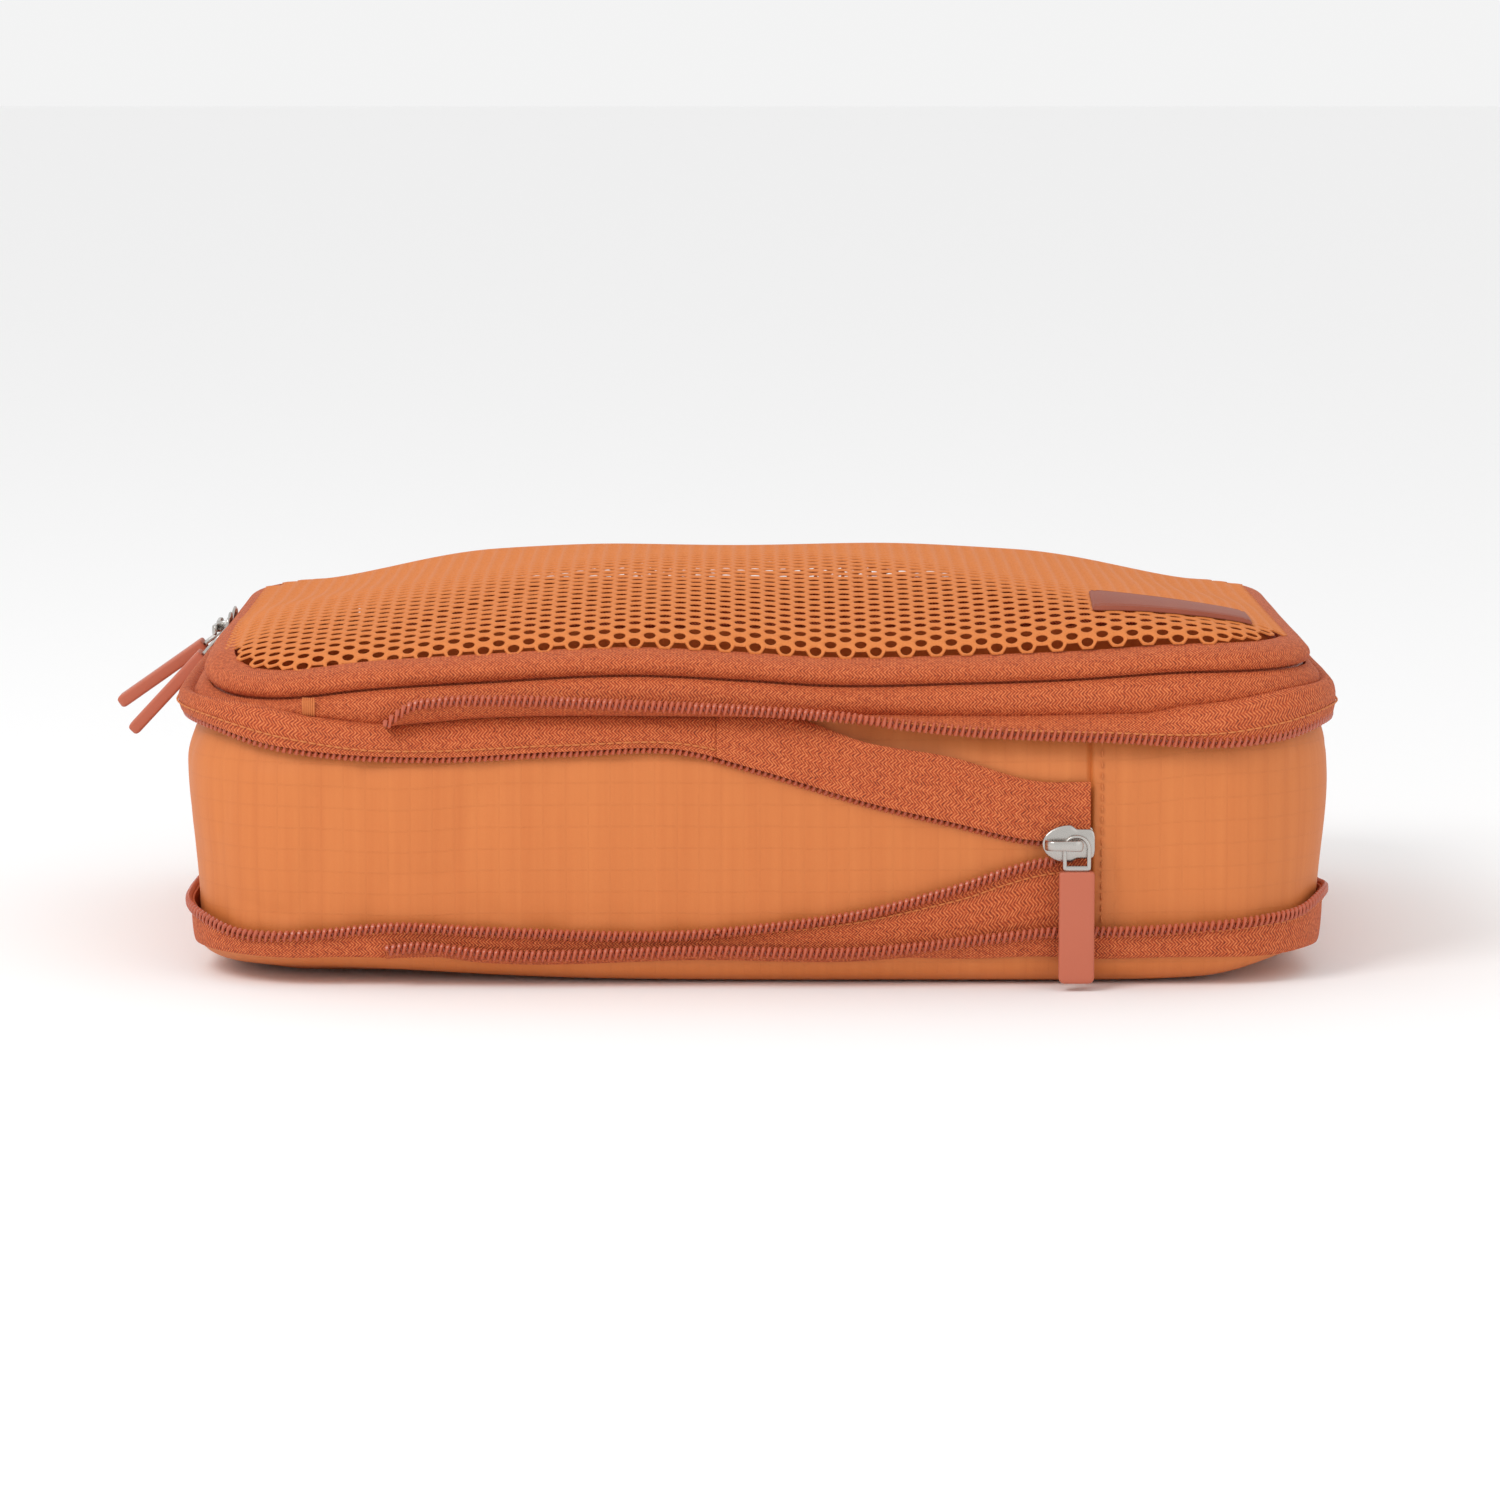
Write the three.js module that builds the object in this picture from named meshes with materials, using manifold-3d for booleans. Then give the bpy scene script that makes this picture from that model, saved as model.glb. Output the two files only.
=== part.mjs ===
// Compression packing cube: a soft zipped case with a domed mesh lid and a second, spiral zip
// round its wall that draws the rim down to the base.
// Millimetres, +Z up, +X to the right, -Y to the front. The origin is the centre of the underside.

import * as THREE from 'three';
import { mergeVertices } from 'three/addons/utils/BufferGeometryUtils.js';
import Module from 'manifold-3d';

const wasm = await Module();
wasm.setup();

// Driving dimensions of the case.
const HALF_LENGTH = 143;
const HALF_DEPTH = 100;
const CORNER_RADIUS = 32;
const CORNER_STEPS = 6;
const FIT_GAP = 0.3;

// Heights of the wall and its seams.
const PANEL_THICKNESS = 1.5;
const FABRIC_THICKNESS = 1.2;
const SHELL_GAP = 0.4;
const RIM_SEAM_Z = 67.5;
const MAIN_ZIP_Z = 75.35;
const LID_EDGE_Z = 81.7;
const DOME_EDGE_Z = 83.6;
const TOP_Z = 99;

// Coil zips: coil pitch is too fine for solids, so each half zip is a band of tape and a band of coil.
const COIL_SIZE = 2.4;
const COIL_DEPTH = 2.6;
const TAPE_THICKNESS = 0.8;
const OUTER_ZIP_STANDOFF = 1.4;
const LOWER_TAPE_Z = 5;
const LOWER_COIL_Z = 14;
const UPPER_COIL_Z = 58.6;
const UPPER_TAPE_TOP_Z = 69.5;
const MAIN_ZIP_INSET = 5.2;
const MAIN_TAPE_THICKNESS = 1;
const MAIN_COIL_THICKNESS = 1.6;
const MAIN_COIL_HEIGHT = 0.8;
const MAIN_COIL_GAP = 1.1;

// Sliders and pulls.
const SLIDER_NOSE = 6.2;
const SLIDER_TAIL = 6.7;
const SLIDER_WIDEST = 4.7;
const SLIDER_SHOULDER = 3.9;
const OUTER_PLATE = 1;
const INNER_PLATE = 0.8;
const PLATE_HALF_GAP = 1.6;
const POST_HALF_HEIGHT = 0.25;
const BAR_HALF_HEIGHT = 1.2;
const BAR_THICKNESS = 1.2;
const BAR_REACH = 3.8;
const LOOP_SHIFT = 2.25;
const LOOP_HALF_WIDTH = 3.45;
const LOOP_WIRE = 0.95;
const LOOP_THICKNESS = 1;
const LOOP_BEHIND_BAR = 2.2;
const LOOP_ARC_Z = -1.05;
const LOOP_BOTTOM_Z = -6.45;
const LOOP_SILL = 1.75;
const TONGUE_HALF_WIDTH = 2.2;
const TONGUE_END_Z = -14;
const GRIP_HALF_WIDTH = 4.4;
const GRIP_END_Z = -34.5;
const GRIP_THICKNESS = 3.4;
const GRIP_BEVEL = 0.8;
const GRIP_CORNER = 1.4;

// Places of the sliders: the compression slider at the front, the two main sliders on the left side.
const COMPRESSION_SLIDER_X = 76.5;
const COMPRESSION_SLIDER_Z = 36;
const FRONT_SLIDER_Y = 20;
const REAR_SLIDER_Y = 34;
const FRONT_PULL_SWING = 43;
const REAR_PULL_SWING = 55;
const ZIP_CENTRE_STANDOFF = OUTER_ZIP_STANDOFF + COIL_DEPTH / 2;
const TAIL_END_X = -91;

const COLOURS = {
  nylon: { color: 0xd98447, roughness: 0.75, metalness: 0 },
  tape: { color: 0xcc6430, roughness: 0.85, metalness: 0 },
  net: { color: 0xde8a4a, roughness: 0.7, metalness: 0 },
  coil: { color: 0xb0502f, roughness: 0.4, metalness: 0 },
  leather: { color: 0x9a4a30, roughness: 0.6, metalness: 0 },
  metal: { color: 0xcfcbc6, roughness: 0.35, metalness: 0.9 },
  grip: { color: 0xcb7b61, roughness: 0.5, metalness: 0 },
};

const cube = new THREE.Group();

function addPart(parent, name, geometry, finish, z = 0) {
  const mesh = new THREE.Mesh(geometry, new THREE.MeshStandardMaterial(COLOURS[finish]));
  mesh.name = name;
  mesh.position.z = z;
  parent.add(mesh);
  return mesh;
}

// ---- Plan outlines: the rounded rectangle of the case, moved in by an inset ----

function planOutline(inset, PathClass = THREE.Shape) {
  const path = new PathClass();
  const x = HALF_LENGTH - CORNER_RADIUS;
  const y = HALF_DEPTH - CORNER_RADIUS;
  const radius = CORNER_RADIUS - inset;
  path.moveTo(x + radius, -y);
  path.absarc(x, y, radius, 0, Math.PI / 2);
  path.absarc(-x, y, radius, Math.PI / 2, Math.PI);
  path.absarc(-x, -y, radius, Math.PI, Math.PI * 1.5);
  path.absarc(x, -y, radius, Math.PI * 1.5, Math.PI * 2);
  return path;
}

// A closed ring of fabric between two insets, standing from z = 0 to its height.
function ringBand(outerInset, innerInset, height) {
  const shape = planOutline(outerInset);
  shape.holes.push(planOutline(innerInset, THREE.Path));
  return extrudeUp(shape, height);
}

// The same band without the back's straight stretch: left side, front and right side with all corners.
function openBand(outerInset, innerInset, height) {
  const shape = new THREE.Shape();
  const x = HALF_LENGTH - CORNER_RADIUS;
  const y = HALF_DEPTH - CORNER_RADIUS;
  const outer = CORNER_RADIUS - outerInset;
  const inner = CORNER_RADIUS - innerInset;
  const corners = [
    [-x, y, 0.5],
    [-x, -y, 1],
    [x, -y, 1.5],
    [x, y, 2],
  ];
  for (const [cx, cy, start] of corners) {
    shape.absarc(cx, cy, outer, start * Math.PI, (start + 0.5) * Math.PI);
  }
  for (const [cx, cy, start] of corners.reverse()) {
    shape.absarc(cx, cy, inner, (start + 0.5) * Math.PI, start * Math.PI, true);
  }
  return extrudeUp(shape, height);
}

function extrudeUp(shape, height) {
  return new THREE.ExtrudeGeometry(shape, {
    depth: height,
    bevelEnabled: false,
    curveSegments: CORNER_STEPS,
  });
}

// A shape drawn in x and z, given thickness along y between two depths.
function uprightPlate(shape, yFront, yBack, curveSegments = CORNER_STEPS) {
  const geometry = new THREE.ExtrudeGeometry(shape, {
    depth: yBack - yFront,
    bevelEnabled: false,
    curveSegments,
  });
  geometry.rotateX(Math.PI / 2);
  geometry.translate(0, yBack, 0);
  return geometry;
}

function block(xLow, xHigh, yLow, yHigh, zLow, zHigh) {
  const geometry = new THREE.BoxGeometry(xHigh - xLow, yHigh - yLow, zHigh - zLow);
  geometry.translate((xLow + xHigh) / 2, (yLow + yHigh) / 2, (zLow + zHigh) / 2);
  return geometry;
}

// ---- Joining and cutting solids ----

function toSolid(geometry) {
  const bare = geometry.clone();
  bare.deleteAttribute('normal');
  bare.deleteAttribute('uv');
  const merged = mergeVertices(bare, 1e-4);
  const mesh = new wasm.Mesh({
    numProp: 3,
    vertProperties: new Float32Array(merged.attributes.position.array),
    triVerts: new Uint32Array(merged.index.array),
  });
  return new wasm.Manifold(mesh);
}

function toGeometry(solid) {
  const mesh = solid.getMesh();
  const geometry = new THREE.BufferGeometry();
  geometry.setAttribute('position', new THREE.BufferAttribute(mesh.vertProperties, 3));
  geometry.setIndex(new THREE.BufferAttribute(mesh.triVerts, 1));
  geometry.computeVertexNormals();
  return geometry;
}

function join(geometries) {
  const solids = geometries.map(toSolid);
  return toGeometry(solids.reduce((whole, piece) => whole.add(piece)));
}

// ---- Gusset wall: one strip of fabric that folds inwards, as three shells that slide together ----

const lowerWallZ = PANEL_THICKNESS + FIT_GAP;
const shellHeight = (RIM_SEAM_Z - lowerWallZ) / 3 - FIT_GAP;
const shellPitch = shellHeight + FIT_GAP;
const shellInset = FABRIC_THICKNESS + SHELL_GAP;
const innermostInset = 2 * shellInset;

['lower', 'middle', 'upper'].forEach((place, index) => {
  const outer = index * shellInset;
  const shell = ringBand(outer, outer + FABRIC_THICKNESS, shellHeight);
  addPart(cube, `gusset_wall_${place}`, shell, 'nylon', lowerWallZ + index * shellPitch);
});

// ---- Base: bottom panel and lower half of the compression zip ----

const frontY = -HALF_DEPTH;
const bindingHeight = 2;
const bindingInset = innermostInset + FABRIC_THICKNESS + FIT_GAP;
const bindingWidth = 2.5;
const lowerCoilTop = LOWER_COIL_Z + COIL_SIZE;

addPart(cube, 'bottom_panel', extrudeUp(planOutline(0), PANEL_THICKNESS), 'nylon');
addPart(
  cube,
  'bottom_seam_binding',
  ringBand(bindingInset, bindingInset + bindingWidth, bindingHeight),
  'tape',
  lowerWallZ,
);

function compressionTape(name, zLow, zHigh) {
  const band = ringBand(-OUTER_ZIP_STANDOFF - TAPE_THICKNESS, -OUTER_ZIP_STANDOFF, zHigh - zLow);
  addPart(cube, name, band, 'tape', zLow);
}

function compressionCoil(name, zLow) {
  const band = ringBand(-OUTER_ZIP_STANDOFF - COIL_DEPTH, -OUTER_ZIP_STANDOFF, COIL_SIZE);
  addPart(cube, name, band, 'coil', zLow);
}

compressionTape('lower_zip_tape', LOWER_TAPE_Z, LOWER_COIL_Z - FIT_GAP);
compressionCoil('lower_zip_coil', LOWER_COIL_Z);

// The end of each half zip, which comes round the right side again and over the front.
function returnRun(name, xLow, xHigh, zLow) {
  const yBack = frontY - OUTER_ZIP_STANDOFF - TAPE_THICKNESS - FIT_GAP;
  const yFront = yBack - COIL_SIZE;
  addPart(cube, name, block(xLow, xHigh, yFront, yBack, 0, COIL_SIZE), 'coil', zLow);
}

const lowerReturnZ = 8;
const lowerReturnEndX = 100;
returnRun('lower_return_coil', TAIL_END_X, lowerReturnEndX, lowerReturnZ);

// ---- Rim: upper half of the compression zip and lower half of the main zip ----

const rimSeamHeight = 1.2;
const rimSeamInnerInset = 6.2;
addPart(
  cube,
  'rim_seam_binding',
  ringBand(innermostInset, rimSeamInnerInset, rimSeamHeight),
  'tape',
  RIM_SEAM_Z,
);

compressionCoil('upper_zip_coil', UPPER_COIL_Z);
compressionTape('upper_zip_tape', UPPER_COIL_Z + COIL_SIZE + FIT_GAP, UPPER_TAPE_TOP_Z);

const upperReturnEndX = -15;
returnRun('upper_return_coil', TAIL_END_X, upperReturnEndX, UPPER_TAPE_TOP_Z + FIT_GAP);

function mainTape(name, zLow, zHigh) {
  const outer = MAIN_ZIP_INSET - MAIN_TAPE_THICKNESS / 2;
  addPart(cube, name, openBand(outer, outer + MAIN_TAPE_THICKNESS, zHigh - zLow), 'tape', zLow);
}

function mainCoil(name, zLow) {
  const outer = MAIN_ZIP_INSET - MAIN_COIL_THICKNESS / 2;
  addPart(cube, name, openBand(outer, outer + MAIN_COIL_THICKNESS, MAIN_COIL_HEIGHT), 'coil', zLow);
}

// The back has no zip: a strip of tape on each side of the fold line takes its place.
const hingeHalfLength = HALF_LENGTH - CORNER_RADIUS - 1;
function hingeStrip(name, zLow, zHigh) {
  const yBack = HALF_DEPTH - MAIN_ZIP_INSET + MAIN_TAPE_THICKNESS / 2;
  const strip = block(-hingeHalfLength, hingeHalfLength, yBack - MAIN_TAPE_THICKNESS, yBack, zLow, zHigh);
  addPart(cube, name, strip, 'tape');
}

const mainTapeBottom = RIM_SEAM_Z + rimSeamHeight + FIT_GAP;
const lowerMainCoilZ = MAIN_ZIP_Z - MAIN_COIL_GAP / 2 - MAIN_COIL_HEIGHT;
const upperMainCoilZ = MAIN_ZIP_Z + MAIN_COIL_GAP / 2;
const mainTapeTop = LID_EDGE_Z - FIT_GAP;
const foldGap = 0.25;

mainTape('main_zip_tape_lower', mainTapeBottom, lowerMainCoilZ - FIT_GAP);
mainCoil('main_zip_coil_lower', lowerMainCoilZ);
hingeStrip('rim_hinge_strip', mainTapeBottom, MAIN_ZIP_Z - foldGap);

// A pressed metal stop closes each end of the main zip, on the rear corners.
function zipStop(name, side) {
  const stopWidth = 3;
  const stopHeight = 2.4;
  const stopThickness = 1;
  const radius = CORNER_RADIUS - MAIN_ZIP_INSET + MAIN_COIL_THICKNESS / 2 + FIT_GAP;
  const outer = radius + stopThickness;
  const stop = block(radius, outer, -stopWidth / 2, stopWidth / 2, -stopHeight / 2, stopHeight / 2);
  const holder = new THREE.Group();
  holder.position.set(side * (HALF_LENGTH - CORNER_RADIUS), HALF_DEPTH - CORNER_RADIUS, MAIN_ZIP_Z);
  holder.rotation.z = side > 0 ? Math.PI / 4 : (Math.PI * 3) / 4;
  addPart(holder, name, stop, 'metal');
  cube.add(holder);
}

zipStop('zip_stop_left', -1);
zipStop('zip_stop_right', 1);

// ---- Compression zip where it stands open: each half leads across the front to the slider ----

const leadFront = frontY - OUTER_ZIP_STANDOFF;
const leadEndX = COMPRESSION_SLIDER_X - SLIDER_NOSE - 0.8;
const leadEndRise = 1.6;
const leadSteps = 8;
const leadTapeEndX = 82.3;
const coilToTape = COIL_SIZE / 2 + FIT_GAP;

const upperLead = new THREE.CubicBezierCurve(
  new THREE.Vector2(-12, UPPER_COIL_Z - coilToTape),
  new THREE.Vector2(15, UPPER_COIL_Z - coilToTape - 2),
  new THREE.Vector2(30, 45),
  new THREE.Vector2(leadEndX, COMPRESSION_SLIDER_Z + leadEndRise),
);
const lowerLead = new THREE.CubicBezierCurve(
  new THREE.Vector2(5, lowerCoilTop + coilToTape),
  new THREE.Vector2(32, lowerCoilTop + coilToTape),
  new THREE.Vector2(50, 26),
  new THREE.Vector2(leadEndX, COMPRESSION_SLIDER_Z - leadEndRise),
);

// Points of a curve, each moved up or down by the same amount.
function shifted(curve, dz) {
  return curve.getPoints(leadSteps).map((point) => new THREE.Vector2(point.x, point.y + dz));
}

function leadCoil(name, curve) {
  const outline = [...shifted(curve, -COIL_SIZE / 2), ...shifted(curve, COIL_SIZE / 2).reverse()];
  addPart(cube, name, uprightPlate(new THREE.Shape(outline), leadFront - COIL_DEPTH, leadFront), 'coil');
}

function leadTape(name, outline) {
  addPart(cube, name, uprightPlate(new THREE.Shape(outline), leadFront - TAPE_THICKNESS, leadFront), 'tape');
}

leadCoil('upper_lead_coil', upperLead);
leadCoil('lower_lead_coil', lowerLead);

const upperLeadTop = new THREE.QuadraticBezierCurve(
  new THREE.Vector2(-4, UPPER_COIL_Z - FIT_GAP),
  new THREE.Vector2(45, UPPER_COIL_Z - FIT_GAP),
  new THREE.Vector2(leadTapeEndX, 50),
);
leadTape('upper_lead_tape', [
  ...shifted(upperLead, coilToTape).slice(1),
  new THREE.Vector2(leadTapeEndX, COMPRESSION_SLIDER_Z + 2),
  ...upperLeadTop.getPoints(leadSteps).reverse(),
]);
leadTape('lower_lead_tape', [
  new THREE.Vector2(16, lowerCoilTop + FIT_GAP),
  new THREE.Vector2(leadTapeEndX, lowerCoilTop + FIT_GAP),
  new THREE.Vector2(leadTapeEndX, COMPRESSION_SLIDER_Z - 2),
  ...shifted(lowerLead, -coilToTape).slice(3).reverse(),
]);

// ---- Lid: domed mesh panel, its edge binding, upper half of the main zip and the label ----

const lidInset = 6;
const edgeBindingOuterInset = 4.7;
const edgeBindingInnerInset = 9;
const edgeBindingThickness = 0.8;
const domeThickness = 1.2;
const domeRise = TOP_Z - domeThickness / 2 - DOME_EDGE_Z;
const domePower = 2.2;
const domeAround = 64;
const domeRings = 16;

mainCoil('main_zip_coil_upper', upperMainCoilZ);
mainTape('main_zip_tape_upper', upperMainCoilZ + MAIN_COIL_HEIGHT + FIT_GAP, mainTapeTop);
hingeStrip('lid_hinge_strip', MAIN_ZIP_Z + foldGap, mainTapeTop);
const edgeBinding = ringBand(edgeBindingOuterInset, edgeBindingInnerInset, edgeBindingThickness);
addPart(cube, 'lid_edge_binding', edgeBinding, 'tape', LID_EDGE_Z);

// Height of the dome's middle surface: highest at the centre and falling towards the edge as a power
// of the distance, which is 0 at the centre and 1 at the lid's outline.
function domeHeight(distance) {
  return DOME_EDGE_Z + domeRise * (1 - distance ** domePower);
}

// How far out a point lies, as the scale that the lid's outline needs to pass through it.
function outlineDistance(x, y) {
  const halfX = HALF_LENGTH - lidInset;
  const halfY = HALF_DEPTH - lidInset;
  const radius = CORNER_RADIUS - lidInset;
  const centreX = halfX - radius;
  const centreY = halfY - radius;
  const px = Math.abs(x);
  const py = Math.abs(y);
  const straight = Math.max(px / halfX, py / halfY);
  if (px / straight <= centreX || py / straight <= centreY) {
    return straight;
  }
  const along = px * centreX + py * centreY;
  const squared = px * px + py * py;
  const rest = centreX ** 2 + centreY ** 2 - radius ** 2;
  return squared / (along + Math.sqrt(along ** 2 - squared * rest));
}

// A sphere's grid pressed flat: its circles become copies of the lid's outline, its two halves the
// upper and lower faces of the net.
function domeGeometry() {
  const geometry = new THREE.SphereGeometry(1, domeAround, domeRings);
  const outline = planOutline(lidInset).getSpacedPoints(domeAround);
  outline[domeAround] = outline[0];
  const position = geometry.attributes.position;
  for (let i = 0; i < position.count; i += 1) {
    const around = i % (domeAround + 1);
    const polar = (Math.floor(i / (domeAround + 1)) / domeRings) * Math.PI;
    const distance = polar > 0 && polar < Math.PI ? Math.sin(polar) : 0;
    const z = domeHeight(distance) + (domeThickness / 2) * Math.cos(polar);
    position.setXYZ(i, outline[around].x * distance, outline[around].y * distance, z);
  }
  return geometry;
}

addPart(cube, 'lid_mesh_panel', domeGeometry(), 'net');

const labelX = 104;
const labelY = -66;
const labelWidth = 40;
const labelHeight = 17;
const labelThickness = 1.2;
const labelClearance = 0.5;

function labelGeometry() {
  const geometry = new THREE.BoxGeometry(labelWidth, labelHeight, labelThickness, 10, 5, 1);
  geometry.translate(labelX, labelY, 0);
  const position = geometry.attributes.position;
  for (let i = 0; i < position.count; i += 1) {
    const x = position.getX(i);
    const y = position.getY(i);
    const base = domeHeight(outlineDistance(x, y)) + domeThickness / 2 + labelClearance;
    position.setZ(i, base + position.getZ(i) + labelThickness / 2);
  }
  return geometry;
}

addPart(cube, 'leather_label', labelGeometry(), 'leather');

// ---- Sliders: body with its bridge bar, metal loop and moulded grip ----

// The slider lies along x with its nose at -x, its coil in the plane y = 0 and its face to -y.
function sliderOutline() {
  const shape = new THREE.Shape();
  const shoulderX = 2.3;
  const bumpX = 0.6;
  shape.moveTo(SLIDER_TAIL, -SLIDER_SHOULDER);
  shape.lineTo(SLIDER_TAIL, SLIDER_SHOULDER);
  shape.lineTo(shoulderX, SLIDER_SHOULDER);
  shape.quadraticCurveTo(shoulderX - 1, SLIDER_SHOULDER, bumpX, SLIDER_WIDEST);
  shape.bezierCurveTo(-2.5, SLIDER_WIDEST, -SLIDER_NOSE, 2.8, -SLIDER_NOSE, 0);
  shape.bezierCurveTo(-SLIDER_NOSE, -2.8, -2.5, -SLIDER_WIDEST, bumpX, -SLIDER_WIDEST);
  shape.quadraticCurveTo(shoulderX - 1, -SLIDER_SHOULDER, shoulderX, -SLIDER_SHOULDER);
  return shape;
}

const outerFace = -PLATE_HALF_GAP - OUTER_PLATE;
const barAxisY = outerFace - BAR_REACH;
const barFront = barAxisY - BAR_THICKNESS / 2;
const barBack = barAxisY + BAR_THICKNESS / 2;

function sliderBody() {
  const overlap = 0.4;
  const footX = -SLIDER_NOSE + 0.6;
  const footWidth = 1.6;
  const barEndX = 3.4;
  return join([
    uprightPlate(sliderOutline(), outerFace, -PLATE_HALF_GAP),
    uprightPlate(sliderOutline(), PLATE_HALF_GAP, PLATE_HALF_GAP + INNER_PLATE),
    block(
      footX,
      footX + footWidth,
      -PLATE_HALF_GAP - overlap,
      PLATE_HALF_GAP + overlap,
      -POST_HALF_HEIGHT,
      POST_HALF_HEIGHT,
    ),
    block(footX, footX + footWidth, barFront, outerFace + overlap, -BAR_HALF_HEIGHT, BAR_HALF_HEIGHT),
    block(footX + overlap, barEndX, barFront, barBack, -BAR_HALF_HEIGHT, BAR_HALF_HEIGHT),
  ]);
}

// The pull's own origin is on the bridge bar's axis, and it hangs towards -z.
function loopGeometry() {
  const shape = new THREE.Shape();
  shape.moveTo(LOOP_HALF_WIDTH, LOOP_BOTTOM_Z);
  shape.absarc(0, LOOP_ARC_Z, LOOP_HALF_WIDTH, 0, Math.PI);
  shape.lineTo(-LOOP_HALF_WIDTH, LOOP_BOTTOM_Z);
  shape.lineTo(-TONGUE_HALF_WIDTH, LOOP_BOTTOM_Z);
  shape.lineTo(-TONGUE_HALF_WIDTH, TONGUE_END_Z);
  shape.lineTo(TONGUE_HALF_WIDTH, TONGUE_END_Z);
  shape.lineTo(TONGUE_HALF_WIDTH, LOOP_BOTTOM_Z);
  const opening = new THREE.Path();
  const innerHalf = LOOP_HALF_WIDTH - LOOP_WIRE;
  opening.moveTo(innerHalf, LOOP_BOTTOM_Z + LOOP_SILL);
  opening.absarc(0, LOOP_ARC_Z, innerHalf, 0, Math.PI);
  opening.lineTo(-innerHalf, LOOP_BOTTOM_Z + LOOP_SILL);
  shape.holes.push(opening);
  const yFront = LOOP_BEHIND_BAR - LOOP_THICKNESS / 2;
  return uprightPlate(shape, yFront, yFront + LOOP_THICKNESS, 8);
}

function gripGeometry() {
  const shape = new THREE.Shape();
  const half = GRIP_HALF_WIDTH - GRIP_BEVEL;
  const top = LOOP_BOTTOM_Z - FIT_GAP - GRIP_BEVEL;
  const bottom = GRIP_END_Z + GRIP_BEVEL;
  shape.moveTo(half, bottom + GRIP_CORNER);
  shape.lineTo(half, top);
  shape.lineTo(-half, top);
  shape.lineTo(-half, bottom + GRIP_CORNER);
  shape.absarc(-half + GRIP_CORNER, bottom + GRIP_CORNER, GRIP_CORNER, Math.PI, Math.PI * 1.5);
  shape.absarc(half - GRIP_CORNER, bottom + GRIP_CORNER, GRIP_CORNER, Math.PI * 1.5, Math.PI * 2);
  const body = new THREE.ExtrudeGeometry(shape, {
    depth: GRIP_THICKNESS - 2 * GRIP_BEVEL,
    bevelThickness: GRIP_BEVEL,
    bevelSize: GRIP_BEVEL,
    bevelSegments: 2,
    curveSegments: 3,
  });
  body.rotateX(Math.PI / 2);
  body.translate(0, LOOP_BEHIND_BAR + GRIP_THICKNESS / 2 - GRIP_BEVEL, 0);
  const slot = block(
    -TONGUE_HALF_WIDTH - FIT_GAP,
    TONGUE_HALF_WIDTH + FIT_GAP,
    LOOP_BEHIND_BAR - LOOP_THICKNESS / 2 - FIT_GAP,
    LOOP_BEHIND_BAR + LOOP_THICKNESS / 2 + FIT_GAP,
    TONGUE_END_Z - FIT_GAP,
    LOOP_BOTTOM_Z + 1,
  );
  return toGeometry(toSolid(body).subtract(toSolid(slot)));
}

// Adds one slider with its pull. The pull is swung out from the wall by an angle in degrees, and its
// loop sits on the tail's side of the middle.
function addSlider({ name, place, turn, flip, swing }) {
  const holder = new THREE.Group();
  holder.position.copy(place);
  holder.rotation.z = turn;
  const body = new THREE.Group();
  body.rotation.y = flip ? Math.PI : 0;
  addPart(body, `${name}_slider_body`, sliderBody(), 'metal');
  const pull = new THREE.Group();
  pull.position.set(flip ? -LOOP_SHIFT : LOOP_SHIFT, barAxisY, 0);
  pull.rotation.x = THREE.MathUtils.degToRad(-swing);
  addPart(pull, `${name}_pull_loop`, loopGeometry(), 'metal');
  addPart(pull, `${name}_pull_grip`, gripGeometry(), 'grip');
  holder.add(body, pull);
  cube.add(holder);
}

addSlider({
  name: 'compression',
  place: new THREE.Vector3(COMPRESSION_SLIDER_X, frontY - ZIP_CENTRE_STANDOFF, COMPRESSION_SLIDER_Z),
  turn: 0,
  flip: false,
  swing: 0,
});

const leftZipX = -HALF_LENGTH + MAIN_ZIP_INSET;
addSlider({
  name: 'main_front',
  place: new THREE.Vector3(leftZipX, FRONT_SLIDER_Y, MAIN_ZIP_Z),
  turn: -Math.PI / 2,
  flip: false,
  swing: FRONT_PULL_SWING,
});
addSlider({
  name: 'main_rear',
  place: new THREE.Vector3(leftZipX, REAR_SLIDER_Y, MAIN_ZIP_Z),
  turn: -Math.PI / 2,
  flip: true,
  swing: REAR_PULL_SWING,
});

export default cube;
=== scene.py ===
"""Looks of a compression packing cube: soft nylon case, woven zip tapes, coils and a domed mesh lid.

Lengths in the formulas are millimetres in the CAD part's frame: +Z up, +X right, -Y front.
Meshes are turned into metres when they are made.
"""

import math

import bpy
import numpy as np
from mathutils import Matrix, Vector


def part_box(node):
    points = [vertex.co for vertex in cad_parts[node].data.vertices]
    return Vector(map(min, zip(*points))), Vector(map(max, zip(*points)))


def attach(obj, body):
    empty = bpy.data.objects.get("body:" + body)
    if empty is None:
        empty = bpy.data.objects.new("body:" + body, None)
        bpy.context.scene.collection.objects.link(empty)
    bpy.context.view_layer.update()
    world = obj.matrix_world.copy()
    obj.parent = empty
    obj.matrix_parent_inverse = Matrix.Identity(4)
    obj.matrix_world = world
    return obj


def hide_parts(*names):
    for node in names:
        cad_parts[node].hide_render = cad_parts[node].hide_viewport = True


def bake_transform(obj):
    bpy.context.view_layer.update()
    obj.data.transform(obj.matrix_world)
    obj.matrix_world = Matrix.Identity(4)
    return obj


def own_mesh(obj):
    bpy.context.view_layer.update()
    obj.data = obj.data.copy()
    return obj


MM = 0.001

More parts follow.
